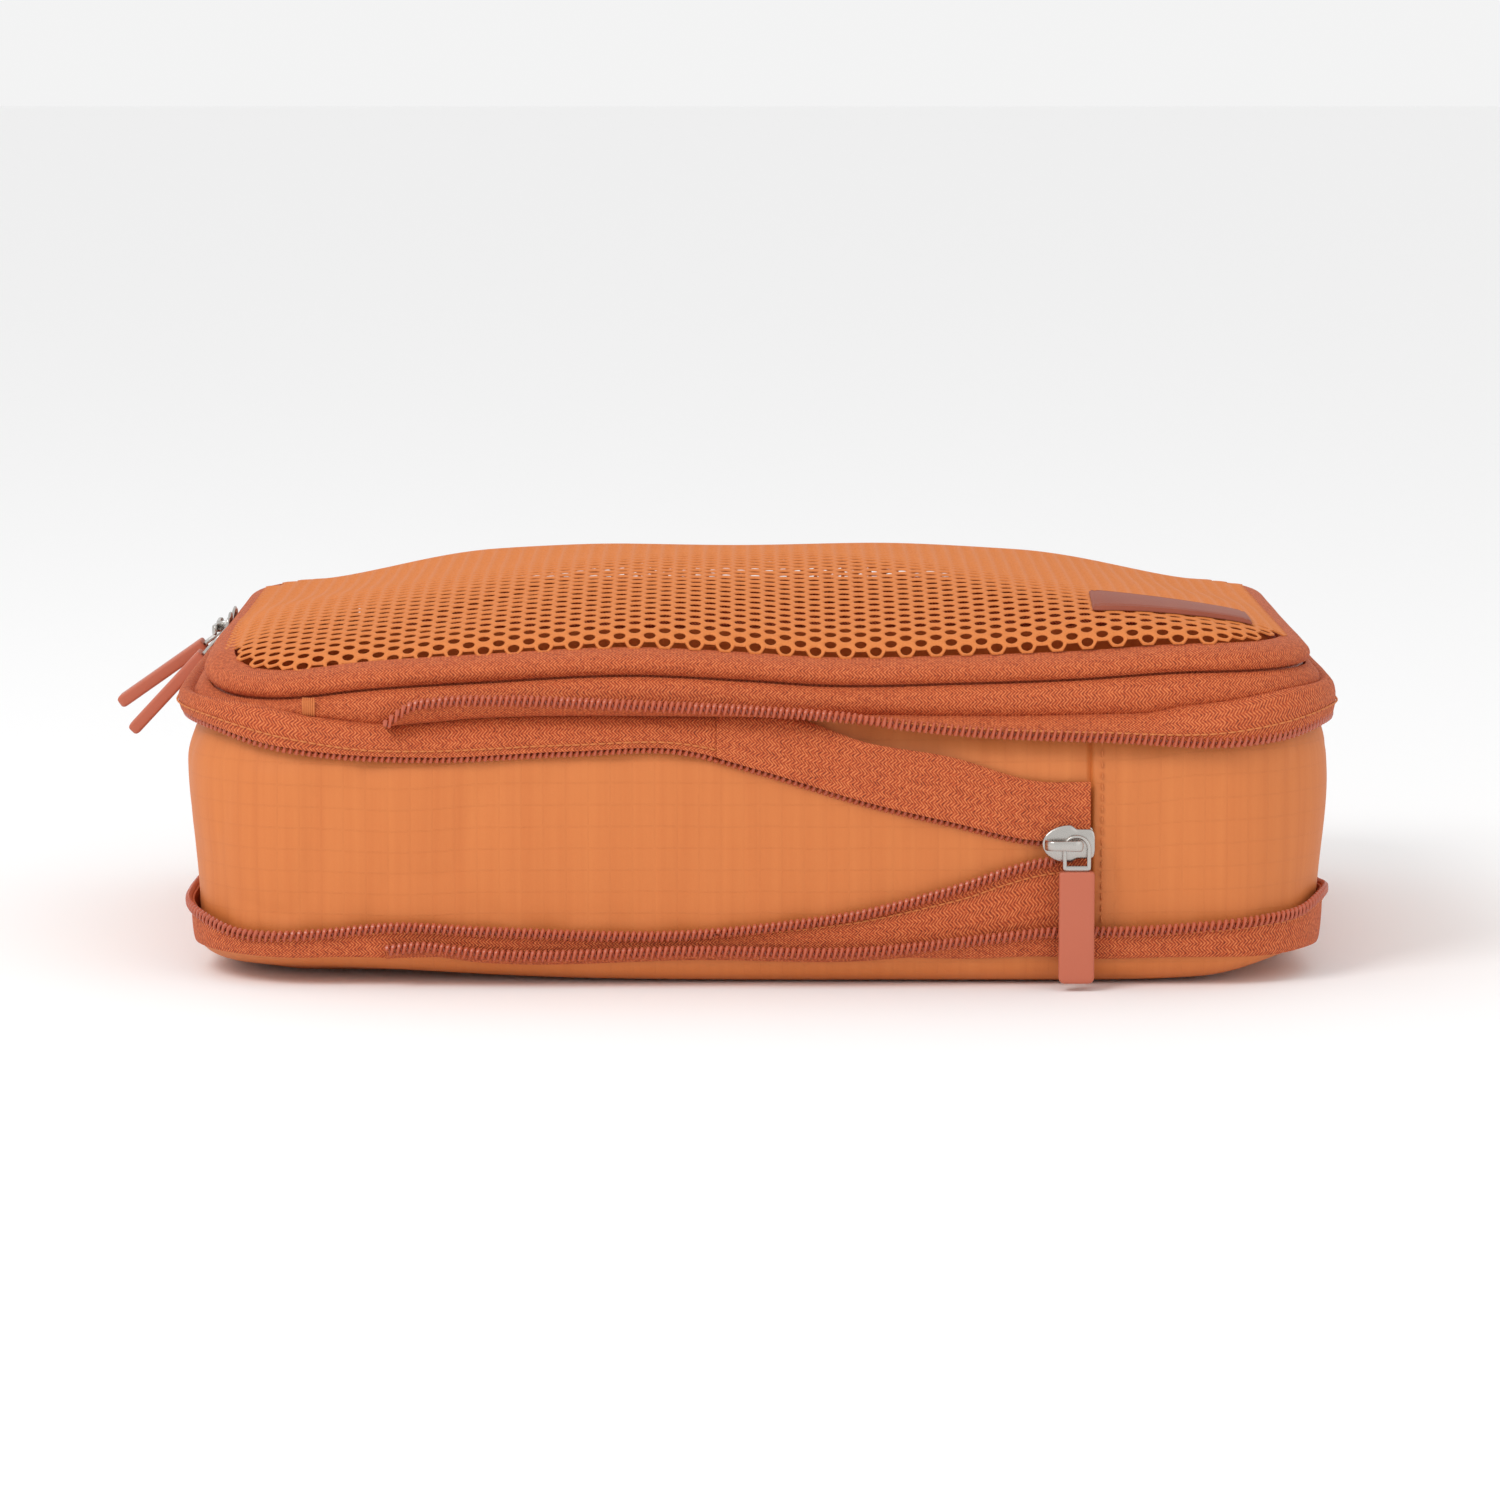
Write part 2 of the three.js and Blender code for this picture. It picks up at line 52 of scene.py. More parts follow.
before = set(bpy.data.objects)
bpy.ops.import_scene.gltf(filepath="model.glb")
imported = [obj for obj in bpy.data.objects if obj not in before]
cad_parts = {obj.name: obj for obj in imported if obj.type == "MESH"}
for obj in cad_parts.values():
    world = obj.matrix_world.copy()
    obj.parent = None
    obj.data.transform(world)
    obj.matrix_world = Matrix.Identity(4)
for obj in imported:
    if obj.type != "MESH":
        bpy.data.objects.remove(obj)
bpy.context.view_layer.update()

panel_low, panel_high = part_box("bottom_panel")
HALF_LENGTH = panel_high.x / MM
HALF_DEPTH = panel_high.y / MM
CORNER_RADIUS = 32.0
CORE_X = HALF_LENGTH - CORNER_RADIUS
CORE_Y = HALF_DEPTH - CORNER_RADIUS
CORNER_ARC = CORNER_RADIUS * math.pi / 2


# ---- Camera, floor and light ----

CAMERA_LENS = 145.8
CAMERA_SENSOR = 36.0
CAMERA_DISTANCE = 1500.0
CAMERA_ELEVATION = math.radians(7.5)
CAMERA_TARGET = Vector((-1.8, -HALF_DEPTH, 58.7))


def add_camera():
    """Put the camera in front of the case, a little above it, looking at the front face."""
    data = bpy.data.cameras.new("camera")
    data.lens = CAMERA_LENS
    data.sensor_width = CAMERA_SENSOR
    data.clip_end = 10
    camera = bpy.data.objects.new("camera", data)
    bpy.context.scene.collection.objects.link(camera)
    back = Vector((0, -math.cos(CAMERA_ELEVATION), math.sin(CAMERA_ELEVATION)))
    camera.location = (CAMERA_TARGET + back * CAMERA_DISTANCE) * MM
    camera.rotation_euler = (-back).to_track_quat("-Z", "Y").to_euler()
    bpy.context.scene.camera = camera


def add_area_light(name, position, size, power):
    """Add a square soft light at a place in metres, turned to the middle of the case."""
    data = bpy.data.lights.new(name, "AREA")
    data.size = size
    data.energy = power
    light = bpy.data.objects.new(name, data)
    light.location = position
    aim = Vector((0, 0, 0.05)) - light.location
    light.rotation_euler = aim.to_track_quat("-Z", "Y").to_euler()
    bpy.context.scene.collection.objects.link(light)


add_camera()
bpy.context.scene.view_settings.view_transform = "Standard"


# ---- Materials ----


def srgb(code, alpha=1.0):
    """Linear colour of an sRGB hex code."""
    channels = [int(code[i : i + 2], 16) / 255 for i in (0, 2, 4)]
    linear = [c / 12.92 if c <= 0.04045 else ((c + 0.055) / 1.055) ** 2.4 for c in channels]
    return (*linear, alpha)


def add_node(tree, kind, settings=None, inputs=None):
    """Add a node with its settings. An input given as a socket is linked, and any other is set."""
    node = tree.nodes.new(kind)
    for name, value in (settings or {}).items():
        setattr(node, name, value)
    for name, value in (inputs or {}).items():
        if isinstance(value, bpy.types.NodeSocket):
            tree.links.new(value, node.inputs[name])
        else:
            node.inputs[name].default_value = value
    return node


def math_node(tree, operation, *values):
    """Output of one maths node."""
    inputs = dict(enumerate(values))
    return add_node(tree, "ShaderNodeMath", {"operation": operation}, inputs).outputs[0]


def mix_colour(tree, factor, first, second):
    """Output of a colour mix."""
    inputs = {0: factor, 6: first, 7: second}
    return add_node(tree, "ShaderNodeMix", {"data_type": "RGBA"}, inputs).outputs[2]


def new_material(name, **shader):
    """A material with only a Principled shader. Returns the material, its tree and the shader node."""
    material = bpy.data.materials.new(name)
    material.use_nodes = True
    tree = material.node_tree
    principled = tree.nodes["Principled BSDF"]
    for key, value in shader.items():
        principled.inputs[key.replace("_", " ")].default_value = value
    return material, tree, principled


def surface_mm(tree):
    """Sockets of the piece's own surface coordinates in mm: along it and across it."""
    uv = add_node(tree, "ShaderNodeUVMap", {"uv_map": "mm"})
    parts = add_node(tree, "ShaderNodeSeparateXYZ", inputs={0: uv.outputs[0]})
    return uv.outputs[0], parts.outputs[0], parts.outputs[1]


def object_noise(tree, grain_mm, detail=2.0):
    """Noise in object coordinates whose grains are about this many millimetres."""
    place = add_node(tree, "ShaderNodeTexCoord").outputs["Object"]
    inputs = {"Vector": place, "Scale": 1 / (grain_mm * MM), "Detail": detail}
    return add_node(tree, "ShaderNodeTexNoise", inputs=inputs).outputs["Fac"]


def add_bump(tree, principled, height, depth_mm):
    """Give the shader a bump of this depth."""
    inputs = {"Height": height, "Distance": depth_mm * MM, "Strength": 1.0}
    bump = add_node(tree, "ShaderNodeBump", inputs=inputs)
    tree.links.new(bump.outputs[0], principled.inputs["Normal"])


def ripstop_material():
    """Thin woven ripstop nylon: a plain weave with a thicker thread every few millimetres."""
    material, tree, principled = new_material("ripstop_nylon", Roughness=0.6, IOR=1.53)
    place, along, up = surface_mm(tree)
    pitch = 5.5
    thread = 0.35
    lead_in = 3668.0  # keeps the length along the wall positive for the modulo
    lines = [
        math_node(tree, "LESS_THAN", math_node(tree, "MODULO", axis, pitch), thread)
        for axis in (math_node(tree, "ADD", along, lead_in), up)
    ]
    grid = math_node(tree, "MAXIMUM", *lines)
    stretched = add_node(tree, "ShaderNodeMapping", inputs={"Vector": place, "Scale": (0.35, 0.012, 1)})
    streak_inputs = {"Vector": stretched.outputs[0], "Scale": 1.0, "Detail": 4.0}
    streaks = add_node(tree, "ShaderNodeTexNoise", inputs=streak_inputs).outputs["Fac"]
    tone = mix_colour(tree, streaks, srgb("C56A2C"), srgb("D47C3B"))
    grid_tone = mix_colour(tree, math_node(tree, "MULTIPLY", grid, 0.06), tone, srgb("B8622A"))
    tree.links.new(grid_tone, principled.inputs["Base Color"])
    weave = object_noise(tree, 0.5)
    height = math_node(tree, "MULTIPLY_ADD", grid, 0.6, weave)
    add_bump(tree, principled, height, 0.05)
    return material


def tape_material():
    """Woven polyester zip tape: herringbone columns that run along the tape, with painted shade in the
    weave's pits and painted highlights on its raised dashes.
    """
    material, tree, principled = new_material("woven_tape", Roughness=0.8, IOR=1.53)
    _, along, across = surface_mm(tree)
    column = 1.2
    dash = 0.85
    zigzag = math_node(tree, "PINGPONG", across, column)
    phase = math_node(tree, "DIVIDE", math_node(tree, "ADD", along, zigzag), dash)
    wave = math_node(tree, "SINE", math_node(tree, "MULTIPLY", phase, 2 * math.pi))
    height = math_node(tree, "MULTIPLY_ADD", wave, 0.5, 0.5)
    rough = object_noise(tree, 0.7)
    uneven = math_node(tree, "MULTIPLY_ADD", rough, 0.85, math_node(tree, "MULTIPLY", height, 0.45))
    # Colour follows the weave's height: painted shade in the low pits and painted highlights on the raised
    # dashes, over a random tone from the noise.
    ramp = add_node(tree, "ShaderNodeValToRGB", inputs={0: uneven})
    # Darkest stop is painted shade in the pits and the lightest is a painted highlight on the dashes.
    stops = [(0.28, "6E2A0E"), (0.48, "A54015"), (0.68, "BA4E1B"), (0.92, "DC7C46")]
    for index, (position, code) in enumerate(stops):
        element = ramp.color_ramp.elements[index] if index < 2 else ramp.color_ramp.elements.new(position)
        element.position = position
        element.color = srgb(code)
    tree.links.new(ramp.outputs[0], principled.inputs["Base Color"])
    add_bump(tree, principled, uneven, 0.22)
    return material


def yarn_material(name, low, high, grain_mm):
    """Knitted polyester yarn: matt, with a fine uneven surface."""
    material, tree, principled = new_material(name, Roughness=0.7, IOR=1.53)
    yarn = object_noise(tree, grain_mm, 3.0)
    tree.links.new(mix_colour(tree, yarn, srgb(low), srgb(high)), principled.inputs["Base Color"])
    add_bump(tree, principled, yarn, 0.15)
    return material


def moulded_material(name, code, roughness, grain_mm, depth_mm):
    """Moulded plastic with a fine even texture."""
    material, tree, principled = new_material(name, Base_Color=srgb(code), Roughness=roughness, IOR=1.5)
    add_bump(tree, principled, object_noise(tree, grain_mm), depth_mm)
    return material


def metal_material():
    """Satin plated zinc casting."""
    material, tree, principled = new_material("satin_metal", Base_Color=srgb("BAB6B1"), Metallic=1.0)
    wear = object_noise(tree, 0.8, 4.0)
    tree.links.new(math_node(tree, "MULTIPLY_ADD", wear, 0.14, 0.2), principled.inputs["Roughness"])
    add_bump(tree, principled, object_noise(tree, 0.6), 0.003)
    return material


def leather_material():
    """Smooth rust brown leather with a fine grain."""
    material, tree, principled = new_material("label_leather", Roughness=0.55, IOR=1.5)
    place = add_node(tree, "ShaderNodeTexCoord").outputs["Object"]
    cells = {"Vector": place, "Scale": 1 / (0.9 * MM)}
    grain = add_node(tree, "ShaderNodeTexVoronoi", {"feature": "DISTANCE_TO_EDGE"}, cells).outputs[0]
    tone = mix_colour(tree, object_noise(tree, 6.0), srgb("85391F"), srgb("96472B"))
    tree.links.new(tone, principled.inputs["Base Color"])
    add_bump(tree, principled, grain, 0.08)
    return material


RIPSTOP = ripstop_material()
TAPE = tape_material()
NET = yarn_material("polyester_mesh", "C86A28", "DE853F", 0.5)
THREAD = yarn_material("sewing_thread", "B8602C", "DC8446", 0.3)
COIL = moulded_material("nylon_coil", "B5573A", 0.25, 0.4, 0.004)
METAL = metal_material()
GRIP = moulded_material("moulded_grip", "BA6247", 0.5, 0.15, 0.01)
LEATHER = leather_material()


# ---- Plan outline, curves and meshes ----

OUTLINE_STEPS = np.cumsum(
    [0, CORE_X, CORNER_ARC, 2 * CORE_Y, CORNER_ARC, 2 * CORE_X, CORNER_ARC, 2 * CORE_Y, CORNER_ARC, CORE_X]
)
PERIMETER = OUTLINE_STEPS[-1]
OUTLINE_CORE_X = CORE_X * np.array([0, 1, 1, 1, 1, -1, -1, -1, -1, 0])
OUTLINE_CORE_Y = CORE_Y * np.array([-1, -1, -1, 1, 1, 1, 1, -1, -1, -1])
FOOT_TUCK = 2.6
FOOT_TUCK_HEIGHTS = (50, 18)
RIGHT_TUCK = (110, 165)
LEFT_TUCK = (806, 745)
OUTLINE_HEADING = math.pi / 2 * np.array([-1, -1, 0, 0, 1, 1, 2, 2, 3, 3])


def smooth_step(low, high, x):
    """0 below low, 1 above high, and 3w^2 - 2w^3 between."""
    w = np.clip((x - low) / (high - low), 0, 1)
    return w * w * (3 - 2 * w)


def wrap_round(s, out, z):
    """Points on the case: P = (core(s) + (R + out - tuck) n(s), z).

    s is the length along the plan outline from the middle of the front towards +X, core(s) the nearest
    point of the rectangle of corner centres, R the corner radius and n(s) the outline's normal. The
    tuck draws the foot of the wall in at the sides and the back, and fades out up the wall.
    """
    s = np.mod(s, PERIMETER)
    heading = np.interp(s, OUTLINE_STEPS, OUTLINE_HEADING)
    beside_front = smooth_step(*RIGHT_TUCK, s) * smooth_step(*LEFT_TUCK, s)
    reach = CORNER_RADIUS + out - FOOT_TUCK * beside_front * smooth_step(*FOOT_TUCK_HEIGHTS, z)
    x = np.interp(s, OUTLINE_STEPS, OUTLINE_CORE_X) + reach * np.cos(heading)
    y = np.interp(s, OUTLINE_STEPS, OUTLINE_CORE_Y) + reach * np.sin(heading)
    return np.stack(np.broadcast_arrays(x, y, z), axis=-1)


def curve(knots, x):
    """Cubic Hermite curve through (x, value) knots, each slope being that of its two neighbours."""
    places, values = np.array(knots, float).T
    slopes = np.gradient(values, places)
    index = np.clip(np.searchsorted(places, x) - 1, 0, len(places) - 2)
    width = places[index + 1] - places[index]
    w = np.clip((x - places[index]) / width, 0, 1)
    ease = w * w * (3 - 2 * w)
    start_bend = w * (1 - w) ** 2 * width * slopes[index]
    end_bend = w * w * (1 - w) * width * slopes[index + 1]
    return values[index] * (1 - ease) + values[index + 1] * ease + start_bend - end_bend


def ripple(x, y, pitch, seed):
    """Sum of eight sine waves of random direction and phase, about `pitch` mm long, from -1 to 1."""
    random = np.random.default_rng(seed)
    total = np.zeros(np.broadcast(x, y).shape)
    for _ in range(8):
        turn, phase = random.uniform(0, 2 * math.pi, 2)
        length = pitch * random.uniform(0.6, 1.7)
        total += np.sin(2 * math.pi * (x * math.cos(turn) + y * math.sin(turn)) / length + phase)
    return total / 8


def bezier(first, second, third, last, steps):
    """Cubic Bezier in (out, z) for each place along a path: four (out, z) pairs give (n, steps, 2)."""
    w = np.linspace(0, 1, steps)[None, :]
    weights = ((1 - w) ** 3, 3 * w * (1 - w) ** 2, 3 * w * w * (1 - w), w**3)
    sides = []
    for side in (0, 1):
        controls = [np.atleast_1d(point[side])[:, None] for point in (first, second, third, last)]
        sides.append(sum(weight * control for weight, control in zip(weights, controls)))
    return sides


def signed_volume(points, faces):
    """Volume inside closed faces: sum of a . (b x c) / 6 over the triangles of each face's fan."""
    total = 0.0
    for face in faces:
        face = np.atleast_2d(face)
        first = points[face[:, 0]]
        for corner in range(1, face.shape[1] - 1):
            second, third = points[face[:, corner]], points[face[:, corner + 1]]
            total += np.einsum("ij,ij->i", first, np.cross(second, third)).sum() / 6
    return total


def new_piece(name, points, faces, material, uvs=None):
    """Make an object of points in mm and arrays of faces, turned outwards, with a surface map in mm."""
    if signed_volume(points, faces) < 0:
        faces = [np.atleast_2d(face)[:, ::-1] for face in faces]
        uvs = uvs and [uv[:, ::-1] for uv in uvs]
    mesh = bpy.data.meshes.new(name)
    corners = [corner for face in faces for corner in np.atleast_2d(face).tolist()]
    mesh.from_pydata((points * MM).tolist(), [], corners)
    mesh.polygons.foreach_set("use_smooth", np.ones(len(mesh.polygons), bool))
    mesh.set_sharp_from_angle(angle=math.radians(55))
    if uvs:
        layer = mesh.uv_layers.new(name="mm")
        layer.data.foreach_set("uv", np.concatenate([uv.reshape(-1) for uv in uvs]).astype(np.float32))
    mesh.materials.append(material)
    piece = bpy.data.objects.new(name, mesh)
    bpy.context.scene.collection.objects.link(piece)
    return piece


def grid_corners(grid):
    """The four corners of every cell between neighbouring rows and columns of a grid."""
    return np.stack([grid[:-1, :-1], grid[:-1, 1:], grid[1:, 1:], grid[1:, :-1]], 2)


def tube(name, rings, along, material, closed=False):
    """Closed skin S(i, j) = rings[i, j]: j goes round each profile and i along the path.

    A closed path joins its last profile to its first, and any other has a face over each end. The
    surface map is (length along the path, length round the profile).
    """
    count, around, _ = rings.shape
    index = np.arange(count * around).reshape(count, around)
    steps = np.linalg.norm(np.diff(rings, axis=1, append=rings[:, :1]), axis=2).mean(0)
    across = np.concatenate([[0], np.cumsum(steps)])
    index = np.concatenate([index, index[:, :1]], axis=1)
    if closed:
        index = np.concatenate([index, index[:1]])
        along = np.append(along, 2 * along[-1] - along[-2])
    faces = [grid_corners(index).reshape(-1, 4)]
    place = np.stack(np.meshgrid(along, across, indexing="ij"), -1)
    uvs = [grid_corners(place).reshape(-1, 4, 2)]
    if not closed:
        faces += [index[:1, :-1][:, ::-1], index[-1:, :-1]]
        uvs += [place[:1, :-1][:, ::-1], place[-1:, :-1]]
    return new_piece(name, rings.reshape(-1, 3), faces, material, uvs)


def strip(name, front, along, thickness, material, closed=False):
    """A cloth strip: its front surface F(i, j), and F - thickness * n behind it, joined at the edges."""
    if closed:
        padded = np.concatenate([front[-1:], front, front[:1]])
        lengthwise = (padded[2:] - padded[:-2]) / 2
    else:
        lengthwise = np.gradient(front, axis=0)
    normal = np.cross(lengthwise, np.gradient(front, axis=1))
    normal /= np.linalg.norm(normal, axis=2, keepdims=True)
    middle = front.shape[1] // 2
    outward = front[:, middle, :2] - front[:, middle, :2].mean(0)
    if np.einsum("ij,ij->i", normal[:, middle, :2], outward).sum() < 0:
        normal = -normal
    back = front - thickness * normal
    rings = np.concatenate([front, back[:, ::-1]], axis=1)
    return tube(name, rings, along, material, closed)


def coil(name, centre, up, outward, pitch_along, material, head_turn=0.0):
    """Zip coil: a wire wound as a flattened helix round a path, thicker at the coupling heads.

    H(t) = C(t) + a cos(f) U + b sin(f) N with f = 2 pi t / pitch, and the wire's radius grows from
    w to w + h where cos(f - head_turn) nears 1.
    """
    phase = 2 * math.pi * pitch_along / COIL_PITCH
    path = centre + COIL_HALF_WIDTH * np.cos(phase)[:, None] * up
    path = path + COIL_HALF_HEIGHT * np.sin(phase)[:, None] * outward
    wire = WIRE_RADIUS + HEAD_SWELL * np.clip(np.cos(phase - head_turn), 0, 1) ** 2
    tangent = np.gradient(path, axis=0)
    tangent /= np.linalg.norm(tangent, axis=1, keepdims=True)
    side = np.gradient(centre, axis=0)
    side -= np.einsum("ij,ij->i", side, tangent)[:, None] * tangent
    side /= np.linalg.norm(side, axis=1, keepdims=True)
    other = np.cross(tangent, side)
    turn = np.linspace(0, 2 * math.pi, WIRE_SIDES, endpoint=False)
    circle = np.cos(turn)[None, :, None] * side[:, None] + np.sin(turn)[None, :, None] * other[:, None]
    rings = path[:, None] + wire[:, None, None] * circle
    return tube(name, rings, pitch_along, material)


def stitch_row(name, centres, lengths, normals, radius):
    """Stitches: each a spindle C + L w / 2 + 0.3 (1 - w^2) N with radius r sqrt(1 - 0.8 w^2), |w| <= 1."""
    w = np.linspace(-1, 1, 5)
    turn = np.arange(6) * math.pi / 3
    across = np.cross(lengths, normals)
    across /= np.linalg.norm(across, axis=1, keepdims=True)
    spine = centres[:, None] + w[None, :, None] * lengths[:, None] / 2
    spine = spine + radius * (1 - w**2)[None, :, None] * normals[:, None]
    girth = radius * np.sqrt(1 - 0.8 * w**2)[None, :, None, None]
    circle = np.cos(turn)[:, None] * across[:, None] + np.sin(turn)[:, None] * normals[:, None]
    points = spine[:, :, None] + girth * circle[:, None]
    index = np.arange(points[..., 0].size).reshape(points.shape[:3])
    wrapped = np.concatenate([index, index[..., :1]], -1)
    quads = np.stack(
        [wrapped[:, :-1, :-1], wrapped[:, :-1, 1:], wrapped[:, 1:, 1:], wrapped[:, 1:, :-1]], -1
    ).reshape(-1, 4)
    faces = [quads, index[:, 0, ::-1], index[:, -1]]
    return new_piece(name, points.reshape(-1, 3), faces, THREAD)


# ---- Lines of the case: seams, zips and their ripples ----

SEAM_Z = 7.6
SEAM_COLUMNS = 14
MAIN_ZIP_Z = 75.35
TAPE_WIDTH = 14.0
LOWER_TAPE_WIDTH = 18.0
# Width of each tape that its flat area counts, along its lead and its run. These are estimates.
UPPER_COUNTED = (14.0, 9.0)
LOWER_COUNTED = (17.0, 8.2)
# Heights that the bottom tray lifts its front left and front right corners by, and how far it tucks them
# in.
LEFT_LIFT = 3.8
RIGHT_LIFT = 5.6
CORNER_TUCK = 2.4
FABRIC = 0.35
TAPE_CLOTH = 0.6
COIL_PITCH = 1.5
COIL_HALF_WIDTH = 1.0
COIL_HALF_HEIGHT = 0.55
WIRE_RADIUS = 0.4
HEAD_SWELL = 0.3
WIRE_SIDES = 6
TURN_POINTS = 9
LEAD_START_X = 82.3
ZIP_START_X = 70.0
LEAD_LENGTH = 80.0
ZIP_LENGTH = 1079.0

CREASE_KNOTS = [
    (0, 67), (87, 67.2), (97, 67.6), (104, 69), (119, 69.9), (134, 70), (229, 69), (458, 67.5),
    (687, 67), (770, 66.5), (798, 66.2), (812, 65.7), (824, 64.8), (850, 66.5), (917.1, 67),
]  # fmt: skip
MAIN_WAVE_KNOTS = [
    (0, -0.2), (15, -1.2), (50, -0.8), (80, 0.3), (105, 2), (135, 2.2), (229, 1), (322, 0), (640, 0),
    (690, 0), (720, 0.5), (755, -1.5), (781, -4.5), (806, -4), (817, -2.7), (849, -0.5), (887, 1.2),
    (917.1, -0.2),
]  # fmt: skip
UPPER_COIL_KNOTS = [
    (-12, 37), (0, 36.8), (23, 41.7), (43, 46.4), (70, 54.6), (88, 59.3), (116, 59), (151, 57.5),
    (175, 58.5), (189, 60.4), (208, 64.6), (231, 66.5), (300, 67), (367, 66), (450, 62.5), (640, 62),
    (760, 63.5), (826, 65.5), (840, 65), (858, 62.5), (872, 61.5), (898, 62.7), (934, 64.2),
    (964, 67.2), (983, 68.6), (1021, 70.4), (1049, 71.4), (1066, 70.9), (1073, 69.6), (1079, 65),
]  # fmt: skip
LOWER_COIL_KNOTS = [
    (-12, 32), (0, 30.4), (23, 23.2), (43, 17.8), (64, 14.6), (84, 12.6), (138, 13.3), (160, 14.3),
    (179, 12.6), (199, 12.2), (212, 15), (300, 15), (450, 14), (690, 15), (800, 17), (843, 18.5),
    (849, 17), (862, 15.8), (877, 14.6), (892, 13.6), (916, 13.1), (930, 11.6), (960, 8.4),
    (1001, 8.6), (1055, 7.9), (1072, 9.6), (1079, 8.8),
]  # fmt: skip


def crease_z(s):
    """Height of the seam between the wall and the main zip's lower tape."""
    return curve(CREASE_KNOTS, np.mod(s, PERIMETER))


def main_zip_z(s):
    """Height of the closed main zip."""
    return MAIN_ZIP_Z + curve(MAIN_WAVE_KNOTS, np.mod(s, PERIMETER))


def flare(t):
    """How far the upper tape stands up as a collar: 0 over the front and 1 round the corners and back."""
    return smooth_step(165, 200, t) - smooth_step(850, 885, t)


def seam_z(s):
    """Height of the bottom seam, with a little pucker."""
    return SEAM_Z + 0.5 * ripple(s, 0 * s, 26, 3)


# ---- Bottom tray and wall ----

WALL_OUT_LIMIT = 1.1
WALL_LIMIT_SHARPNESS = 2.5


def corner_shares(s):
    """How near s is to the front left and to the front right corner, as two bell curves from 0 to 1."""
    return np.exp(-(((s - 800) / 52) ** 2)), np.exp(-(((s - 148) / 29) ** 2))


def bottom_tray():
    """Nylon tray under the case.

    Flat to 8 mm from the edge, then out = -8 + 8.4 sin a and z = h (1 - cos a) up to the seam, with
    the corners lifted by a smooth step of the distance from the middle; the inside follows 1 mm in.
    """
    s = np.arange(0, PERIMETER, 2.0)[:, None]
    a = np.linspace(0, math.pi / 2, 12)
    hem_out = np.concatenate([[-26, -20, -12], -8 + 8.4 * np.sin(a), [-0.6]])
    hem_rise = np.concatenate([[0, 0, 0], 1 - np.cos(a), [1.06]])
    out = np.concatenate([hem_out, hem_out[::-1] - 1])
    rise = np.concatenate([hem_rise, hem_rise[::-1]])
    inner = np.concatenate([0 * hem_out, 0 * hem_out + 1.0])
    left_corner, right_corner = corner_shares(s)
    lift = (LEFT_LIFT * left_corner + RIGHT_LIFT * right_corner) * smooth_step(-26, 0, out)
    bulge = 0.5 * ripple(s, 0 * s, 40, 5) * np.sin(np.pi * np.clip(rise, 0, 1))
    bulge = bulge - CORNER_TUCK * (left_corner + right_corner) * smooth_step(-26, -4, out) * (1 - rise)
    z = seam_z(s) * rise * (1 - 0.12 * inner) + lift * (1 - rise) + inner * 0.5
    points = wrap_round(s + 0 * out, out + bulge, z)
    index = np.arange(points[..., 0].size).reshape(points.shape[:2])
    index = np.concatenate([index, index[:1]])
    faces = [grid_corners(index).reshape(-1, 4), index[:-1, 0][None, ::-1], index[:-1, -1][None]]
    place = np.stack([s + 0 * out, z + out], -1)
    place = np.concatenate([place, place[:1] + (PERIMETER, 0)])
    uvs = [grid_corners(place).reshape(-1, 4, 2)]
    uvs += [points[:, 0, :2][None, ::-1], points[:, -1, :2][None]]
    tray = new_piece("bottom_tray", points.reshape(-1, 3), faces, RIPSTOP, uvs)
    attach(tray, "base")
    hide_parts("bottom_panel", "bottom_seam_binding")


def wall_out(s, w):
    """How far the wall stands out: bulge sin(pi w) + slow folds + creases + puckers near both seams.

    The folds are ripples and the creases c sqrt(|ripple|), which has a sharp valley where it nears 0.

    w is the share of the height between the bottom seam and the rim's crease. Beside the upright seam
    at the front right the cloth steps out over a groove. A soft minimum, m - ln(1 + e^(k (m - out))) / k,
    keeps the wall behind the zip tapes, which pass over it when the case is compressed.
    """
    belly = 0.7 * np.sin(np.pi * w) ** 0.7
    corner = sum(corner_shares(s))
    z = 60 * w
    folds = (0.9 + 1.1 * corner) * ripple(s, 0.5 * z, 46, 11) * np.sin(np.pi * w)
    fine = (0.42 + 0.4 * corner) * ripple(s, 0.35 * z, 17, 12) * np.sin(np.pi * w)
    crumple = np.sqrt(np.abs(ripple(s, 0.8 * z, 40, 14))) * smooth_step(0, 0.2, w) * smooth_step(1, 0.8, w)
    pucker_phase = 2 * np.pi * s / 15 + 2.5 * ripple(s, 0 * s, 70, 13)
    puckers = 0.65 * np.sin(pucker_phase) * (np.exp(-8 * w) + 0.5 * np.exp(-6 * (1 - w)))
    tuck = -2.8 * smooth_step(0.76, 1, w) - 0.5 * smooth_step(0.1, 0, w)
    past_seam = s - LEAD_START_X
    seam = 0.5 * smooth_step(0, 0.8, past_seam) * smooth_step(6, 3, past_seam)
    groove = -0.9 * np.exp(-((past_seam / 0.6) ** 2)) * smooth_step(1, 0.92, w)
    creases = (0.7 + 0.6 * corner) * (crumple - 0.6)
    total = tuck + belly + folds + fine + puckers + creases + seam + groove
    past_limit = np.log1p(np.exp(WALL_LIMIT_SHARPNESS * (WALL_OUT_LIMIT - total)))
    return WALL_OUT_LIMIT - past_limit / WALL_LIMIT_SHARPNESS


